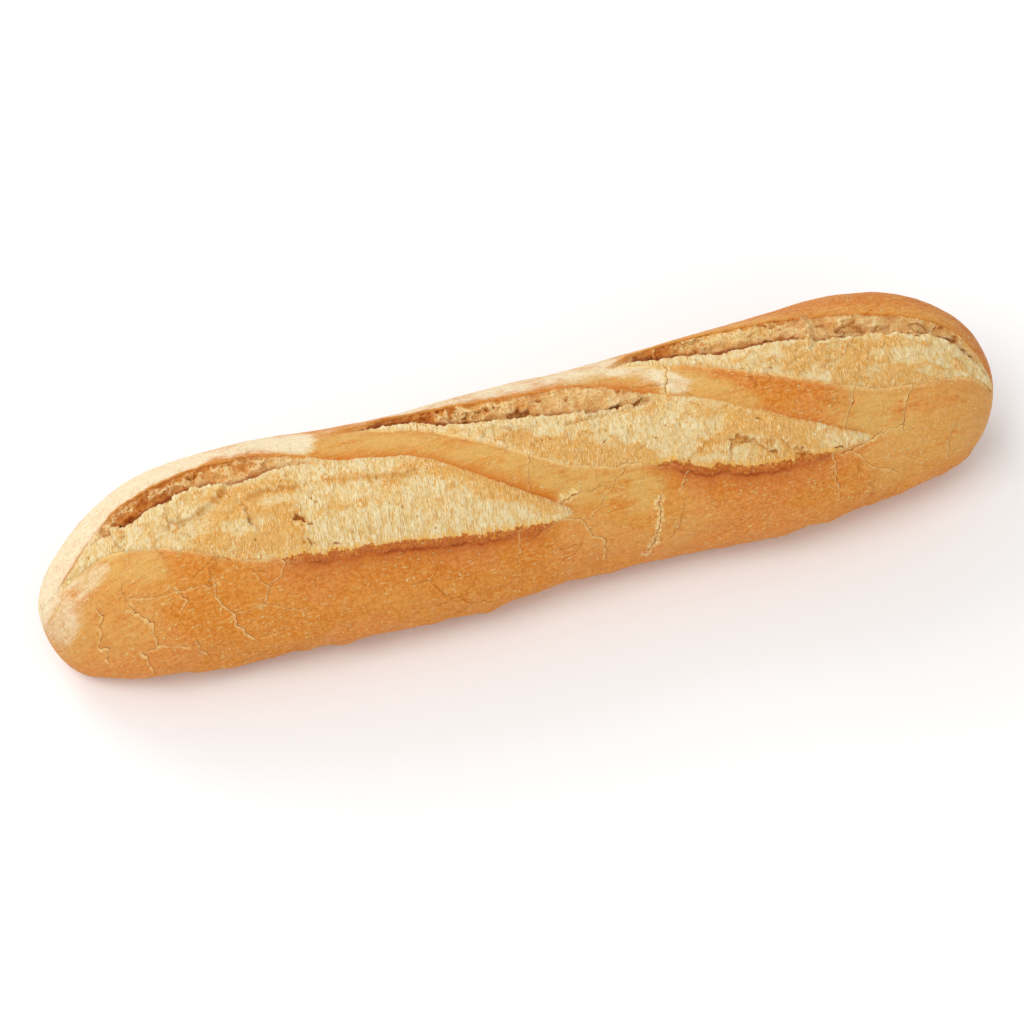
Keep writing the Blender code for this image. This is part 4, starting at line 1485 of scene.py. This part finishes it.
@dataclass(frozen=True)
class CrustFinish:
    """Golden crust: mottled, blistered with pale dots, crazed with fine cracks."""

    golden: tuple = srgb(211, 128, 34)
    light: tuple = srgb(222, 152, 72)
    bright: tuple = srgb(230, 164, 84)
    rosy: tuple = srgb(216, 136, 70)
    young: tuple = srgb(222, 182, 106)
    brown: tuple = srgb(184, 92, 34)
    orange: tuple = srgb(206, 116, 34)
    dusty: tuple = srgb(240, 224, 188)
    pale: tuple = srgb(240, 206, 138)
    crumb: tuple = srgb(222, 170, 96)
    flour: tuple = srgb(246, 218, 156)
    flake: tuple = srgb(228, 170, 88)
    between_flecks: tuple = (0.88, 0.76, 0.55, 1.0)
    between_grains: tuple = (0.82, 0.66, 0.45, 1.0)
    # tone of the painted shadow under the browned lip
    lip_shadow_tone: tuple = (0.62, 0.42, 0.30, 1.0)
    in_crack: tuple = (0.58, 0.36, 0.20, 1.0)
    roughness: float = 0.6
    relief: float = 0.6

    def material(self) -> bpy.types.Material:
        """Builds the material."""
        bench = Bench("crust")
        marks = {name: bench.mark(name) for name in CRUST_MARKS}
        wide, patch = bench.noise(30, 3.0), bench.noise(7, 4.0)
        fine, grain = bench.noise(1.2, 4.0, 0.65), bench.noise(0.5, 3.0, 0.6)
        along = bench.strands(5.0, 0.8)
        plate = bench.dots(26)[1]
        crowd = patch.between(0.40, 0.60)
        wobble = (grain - 0.5) * 0.3
        # Blisters: dots of three sizes, the last drawn out along the loaf
        dot, chosen = bench.dots(2.4, flat=True)
        blister = (dot + wobble).between(0.5, 0.25) * chosen.between(0.5, 0.8) * crowd
        dot, chosen = bench.dots(1.3, flat=True)
        blister = blister + (dot + wobble).between(0.3, 0.12) * chosen.between(0.4, 0.8) * 0.7
        dot, chosen = bench.dots(1.9, flat=True, drawn=3.5)
        blister = (blister + (dot + wobble).between(0.34, 0.16) * chosen.between(0.45, 0.7) * 0.6).held()
        mottle = (fine * 0.75 + along * 0.25).between(0.38, 0.62)

        # Base colours, from the widest patches to the finest grain, then flour with painted highlight, and
        # blisters
        light = wide.between(0.4, 0.7) * 0.35 + patch.between(0.4, 0.75) * 0.3
        tone = bench.colour(self.golden, self.light, light.held())
        tone = bench.colour(tone, self.rosy, plate.between(0.66, 0.68) * 0.6)
        drift = bench.strands(14.0, 4.0)
        young = marks["young"] * (drift.between(0.2, 0.55) + (along - 0.5) * 1.2)
        tone = bench.colour(tone, self.young, young.held())
        tone = bench.colour(tone, self.orange, (marks["burnt"] * (0.5 + patch * 0.6)).held())
        tone = bench.colour(tone, self.bright, mottle * 0.5)
        tone = bench.shade(tone, (1.0 - mottle) * 0.75, self.between_flecks)
        tone = bench.shade(tone, grain.between(0.5, 0.3) * 0.5, self.between_grains)
        # Flour, with painted highlight: paler on the upper far crust
        floured_and_lit_share = marks["dusty"] * 1.2 + (patch - 0.5) * 1.8 + (along - 0.5) * 0.9 + (fine - 0.5) * 0.6
        floured_and_lit_share = floured_and_lit_share.between(0.1, 1.15) * (marks["dusty"] * 1.2).held() * (0.8 + mottle * 0.2)
        tone = bench.colour(tone, self.dusty, floured_and_lit_share.held())
        tone = bench.colour(tone, self.pale, blister * 0.75)
        # Along the cuts and the cracks
        tone = bench.colour(tone, self.brown, (marks["lip"] * (patch * 0.9 + 0.45)).held())
        # Painted shadow under the browned lip
        tone = bench.shade(tone, marks["groove"] * patch.between(0.4, 0.6), self.lip_shadow_tone)
        # Orange at the ears' torn edges, and painted shade in the creases along shut far edges
        tone = bench.colour(tone, self.orange, (marks["crease"] * 0.8 + marks["ear"] * 0.9).held())
        fray = (fine * 0.4 + along * 0.6 + (marks["frayed"] - 0.5) * 0.16).between(0.38, 0.60)
        tone = bench.colour(tone, self.flake, (marks["frayed"] * fray * 0.7).held())
        # Pale crust along the near edges of the cuts, and painted highlight beside the cracks
        tone = bench.colour(tone, self.pale, (marks["rim"] * (fine * 1.6)).held())
        tone = bench.colour(tone, self.flour, (marks["flaky"] * fine.between(0.4, 0.6)).held())
        jagged = marks["side"] + (fine - 0.5) * 0.8
        gap = 1.4 - jagged.size() / (marks["gap"] + 0.001)
        seam = bench.seams(17, 3.0)
        crazed = bench.noise(22, 2.0).between(0.56, 0.64)
        hairline = seam.between(0.2, 0.05) * crazed * 0.35
        tone = bench.shade(tone, (gap.held() + hairline).held(), self.in_crack)
        tone = bench.colour(tone, self.crumb, marks["torn"])
        rough = self.roughness + (fine - 0.5) * 0.3 + marks["torn"] * 0.3 + marks["dusty"] * 0.2
        bumps = fine * 0.6 + grain * 0.25 + blister * 0.4 + along * 0.2 - hairline
        bench.finish(tone, rough.held(), bumps, self.relief)
        return bench.material


@dataclass(frozen=True)
class CrumbFinish:
    """Torn crumb: cream, fibrous, toasted to orange in patches, and browned by painted shade in the crevice.
    """

    cream: tuple = srgb(238, 219, 172)
    straw: tuple = srgb(231, 197, 130)
    tan: tuple = srgb(218, 160, 84)
    toasted: tuple = srgb(229, 170, 80)
    wall: tuple = srgb(244, 214, 146)
    amber: tuple = srgb(230, 158, 72)
    brown: tuple = srgb(160, 86, 44)
    meal_and_glint: tuple = srgb(252, 234, 186)
    web: tuple = srgb(250, 222, 164)
    crusty: tuple = srgb(186, 90, 28)
    crisp: tuple = srgb(238, 180, 84)
    between_tufts: tuple = (0.88, 0.70, 0.48, 1.0)
    between_hairs: tuple = (0.86, 0.66, 0.42, 1.0)
    fold_shade: tuple = (0.80, 0.58, 0.36, 1.0)
    in_wall: tuple = (0.70, 0.46, 0.28, 1.0)
    cell_hollow_shade: tuple = (0.82, 0.60, 0.38, 1.0)
    depth_shade: tuple = (0.78, 0.54, 0.38, 1.0)
    pore_shade_tone: tuple = (0.62, 0.38, 0.22, 1.0)
    roughness: float = 0.85
    relief: float = 0.55

    def material(self) -> bpy.types.Material:
        """Builds the material."""
        bench = Bench("crumb")
        names = ("toast", "cave", "deep", "low", "amber", "mealy", "edge", "fringe", "shaded", "glint",
                 "pore_shade", "stringy", "raised_highlight", "cell", "web", "warm")
        marks = {name: bench.mark(name) for name in names}
        # The open crumb
        fibre = bench.strands(0.38, 4.2, 0.12, 4.0)
        patch, speck, dust = bench.noise(6, 4.0), bench.noise(0.8, 4.0, 0.65), bench.noise(0.4, 3.0, 0.6)
        grit, hair = bench.strands(0.6, 1.6, 0.12, 2.0), bench.strands(0.3, 1.7, 0.12, 2.0)
        detail = fibre * (0.45 + marks["stringy"] * 0.55) + speck * (0.55 - marks["stringy"] * 0.55)
        # Cream against straw, from noise and, as painted highlight, from the raised relief
        ridge = (detail * 0.75 + marks["raised_highlight"] * 0.25).between(0.43, 0.57)
        tone = bench.colour(self.straw, self.cream, ridge)
        tone = bench.colour(tone, self.tan, detail.between(0.45, 0.34) * 0.8)
        toast = marks["toast"] * 1.25 + (detail - 0.5) * 2.6 + (speck - 0.5) * 1.8 + (dust - 0.5) * 1.4
        tone = bench.colour(tone, self.toasted, toast.between(0.5, 1.1) * 0.9)
        tone = bench.colour(tone, self.tan, toast.between(1.15, 1.7) * 0.75)
        plain = 1.0 - marks["stringy"] * 0.6
        tone = bench.colour(tone, self.cream, dust.between(0.54, 0.66) * plain * 0.5)
        tone = bench.shade(tone, grit.between(0.46, 0.34) * 0.7, self.between_tufts)
        sparse = patch.between(0.35, 0.65) * 0.6 + 0.2
        tone = bench.shade(tone, hair.between(0.46, 0.38) * sparse, self.between_hairs)
        tone = bench.colour(tone, self.meal_and_glint, hair.between(0.54, 0.64) * sparse)
        # Painted shade in the lee of each fold's cliff, and painted highlight on its brink
        tone = bench.shade(tone, marks["shaded"] * 0.9, self.fold_shade)
        tone = bench.colour(tone, self.meal_and_glint, marks["glint"] * 0.5)
        # The crevice's wall, with painted shade in its cells' hollows, and membranes between them paler,
        # partly by painted highlight
        warmth = (marks["warm"] - 0.5) * 0.7 + marks["amber"] + (patch - 0.5) * 1.4
        lit = bench.colour(self.wall, self.amber, warmth.held())
        lit = bench.colour(lit, self.crusty, warmth.between(0.85, 1.5) * 0.55)
        lit = bench.colour(lit, self.tan, speck.between(0.52, 0.42) * 0.5)
        lit = bench.shade(lit, speck.between(0.48, 0.36) * marks["amber"], self.in_wall)
        lit = bench.colour(lit, self.web, speck.between(0.55, 0.66) * 0.35)
        # Painted shade in each cell's hollow, and the membranes between cells paler, partly by painted
        # highlight
        lit = bench.shade(lit, (1.0 - marks["cell"]) * 0.7, self.cell_hollow_shade)
        lit = bench.colour(lit, self.web, marks["web"] * speck.between(0.40, 0.55) * 0.8)
        # Painted shade, deeper down the crevice
        lit = bench.shade(lit, marks["low"] * 0.7, self.depth_shade)
        tone = bench.colour(tone, lit, marks["cave"])
        # Painted shade: brown along the crevice, where the crumb's edge hides its wall
        tone = bench.colour(tone, self.brown, (marks["deep"] * (patch * 1.8)).held())
        # The browned and the mealy rims, and the holes, darkened inside by painted shade
        brink = (marks["edge"] + (speck - 0.5) * 1.4).between(0.42, 0.58)
        tone = bench.colour(tone, self.crusty, (brink * (0.7 + speck * 0.5)).held())
        crisp = marks["fringe"] * grit.between(0.42, 0.54) * 0.9 + brink * speck.between(0.54, 0.62) * 0.6
        tone = bench.colour(tone, self.crisp, crisp.held())
        tone = bench.colour(tone, self.meal_and_glint, (marks["mealy"] * fibre.between(0.40, 0.55)).held())
        tone = bench.colour(tone, self.toasted, marks["mealy"] * fibre.between(0.44, 0.36) * 0.8)
        # Painted shade inside the holes
        pore_shade = (marks["pore_shade"] + (speck - 0.5) * 0.5).between(0.25, 0.6) * marks["pore_shade"]
        tone = bench.shade(tone, pore_shade.held(), self.pore_shade_tone)
        bench.finish(tone, self.roughness, detail * 0.7 + speck * 0.3 + dust * 0.3, self.relief)
        return bench.material


@dataclass(frozen=True)
class FloorFinish:
    """Plain pale floor."""

    shade: tuple = (0.96, 0.96, 0.96, 1.0)
    roughness: float = 0.9

    def material(self) -> bpy.types.Material:
        """Builds the material."""
        bench = Bench("floor")
        bench.shader.inputs["Base Color"].default_value = self.shade
        bench.shader.inputs["Roughness"].default_value = self.roughness
        bench.shader.inputs["Specular IOR Level"].default_value = 0.0
        return bench.material


# ------------------------------------------------------------------------------- the studio


@dataclass(frozen=True)
class Lamp:
    """A square soft light that points at the loaf."""

    name: str
    place: tuple[float, float, float]
    size: float
    power: float  # in watts

    def build(self) -> None:
        """Hangs it up."""
        data = bpy.data.lights.new(self.name, "AREA")
        data.size, data.energy = self.size, self.power
        lamp = bpy.data.objects.new(self.name, data)
        lamp.location = self.place
        lamp.rotation_mode = "QUATERNION"
        lamp.rotation_quaternion = (-Vector(self.place)).to_track_quat("-Z", "Y")
        bpy.context.scene.collection.objects.link(lamp)


@dataclass(frozen=True)
class Studio:
    """Pale floor, soft light from high on the left, and a camera that looks down on the loaf."""

    lamps: tuple[Lamp, ...] = (
        Lamp("key", (-0.7, -0.25, 1.3), 0.8, 8.0),
        Lamp("back", (-0.5, 1.2, 0.8), 0.8, 8.0),
        Lamp("fill", (0.5, -1.3, 0.8), 1.2, 4.0),
    )
    floor_half: float = 4.0
    azimuth: float = -17.4
    elevation: float = 56.0
    distance: float = 0.9123
    target: tuple[float, float, float] = (-0.0071, -0.0102, 0.026)
    lens: float = 100.0
    sensor: float = 36.0
    sky: float = 0.62

    def floor(self) -> None:
        """A large square the loaf stands on."""
        mesh = bpy.data.meshes.new("floor")
        s = self.floor_half
        mesh.from_pydata([(-s, -s, 0), (s, -s, 0), (s, s, 0), (-s, s, 0)], [], [(0, 1, 2, 3)])
        mesh.materials.append(FloorFinish().material())
        floor = bpy.data.objects.new("floor", mesh)
        bpy.context.scene.collection.objects.link(floor)

    def world(self) -> None:
        """An even white sky."""
        world = bpy.data.worlds.new("sky")
        world.use_nodes = True
        world.node_tree.nodes["Background"].inputs["Color"].default_value = (1, 1, 1, 1)
        world.node_tree.nodes["Background"].inputs["Strength"].default_value = self.sky
        bpy.context.scene.world = world
        bpy.context.scene.view_settings.view_transform = "Standard"

    def camera(self) -> None:
        """The camera, aimed along its azimuth and elevation."""
        a, e = math.radians(self.azimuth), math.radians(self.elevation)
        back = Vector((math.sin(a) * math.cos(e), -math.cos(a) * math.cos(e), math.sin(e)))
        data = bpy.data.cameras.new("camera")
        data.lens, data.sensor_width = self.lens, self.sensor
        camera = bpy.data.objects.new("camera", data)
        camera.location = Vector(self.target) + back * self.distance
        camera.rotation_mode = "QUATERNION"
        camera.rotation_quaternion = (-back).to_track_quat("-Z", "Y")
        bpy.context.scene.collection.objects.link(camera)
        bpy.context.scene.camera = camera

    def build(self) -> None:
        """Sets up everything round the loaf."""
        self.floor()
        self.world()
        for lamp in self.lamps:
            lamp.build()
        self.camera()


def main() -> None:
    """Builds the loaf's pieces in order, and the studio round them."""
    logging.basicConfig(level=logging.INFO, format="%(name)s: %(message)s")
    low, high = (np.array(corner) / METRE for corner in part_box(NODE))
    skin = Skin(length=float(high[0] - low[0]))
    settle(Crust(skin).build(CrustFinish().material()))
    crumb_finish = CrumbFinish().material()
    for cut in CUTS:
        settle(Crumb(skin, cut).build(crumb_finish))
    Studio().build()


if __name__ == "__main__":
    main()
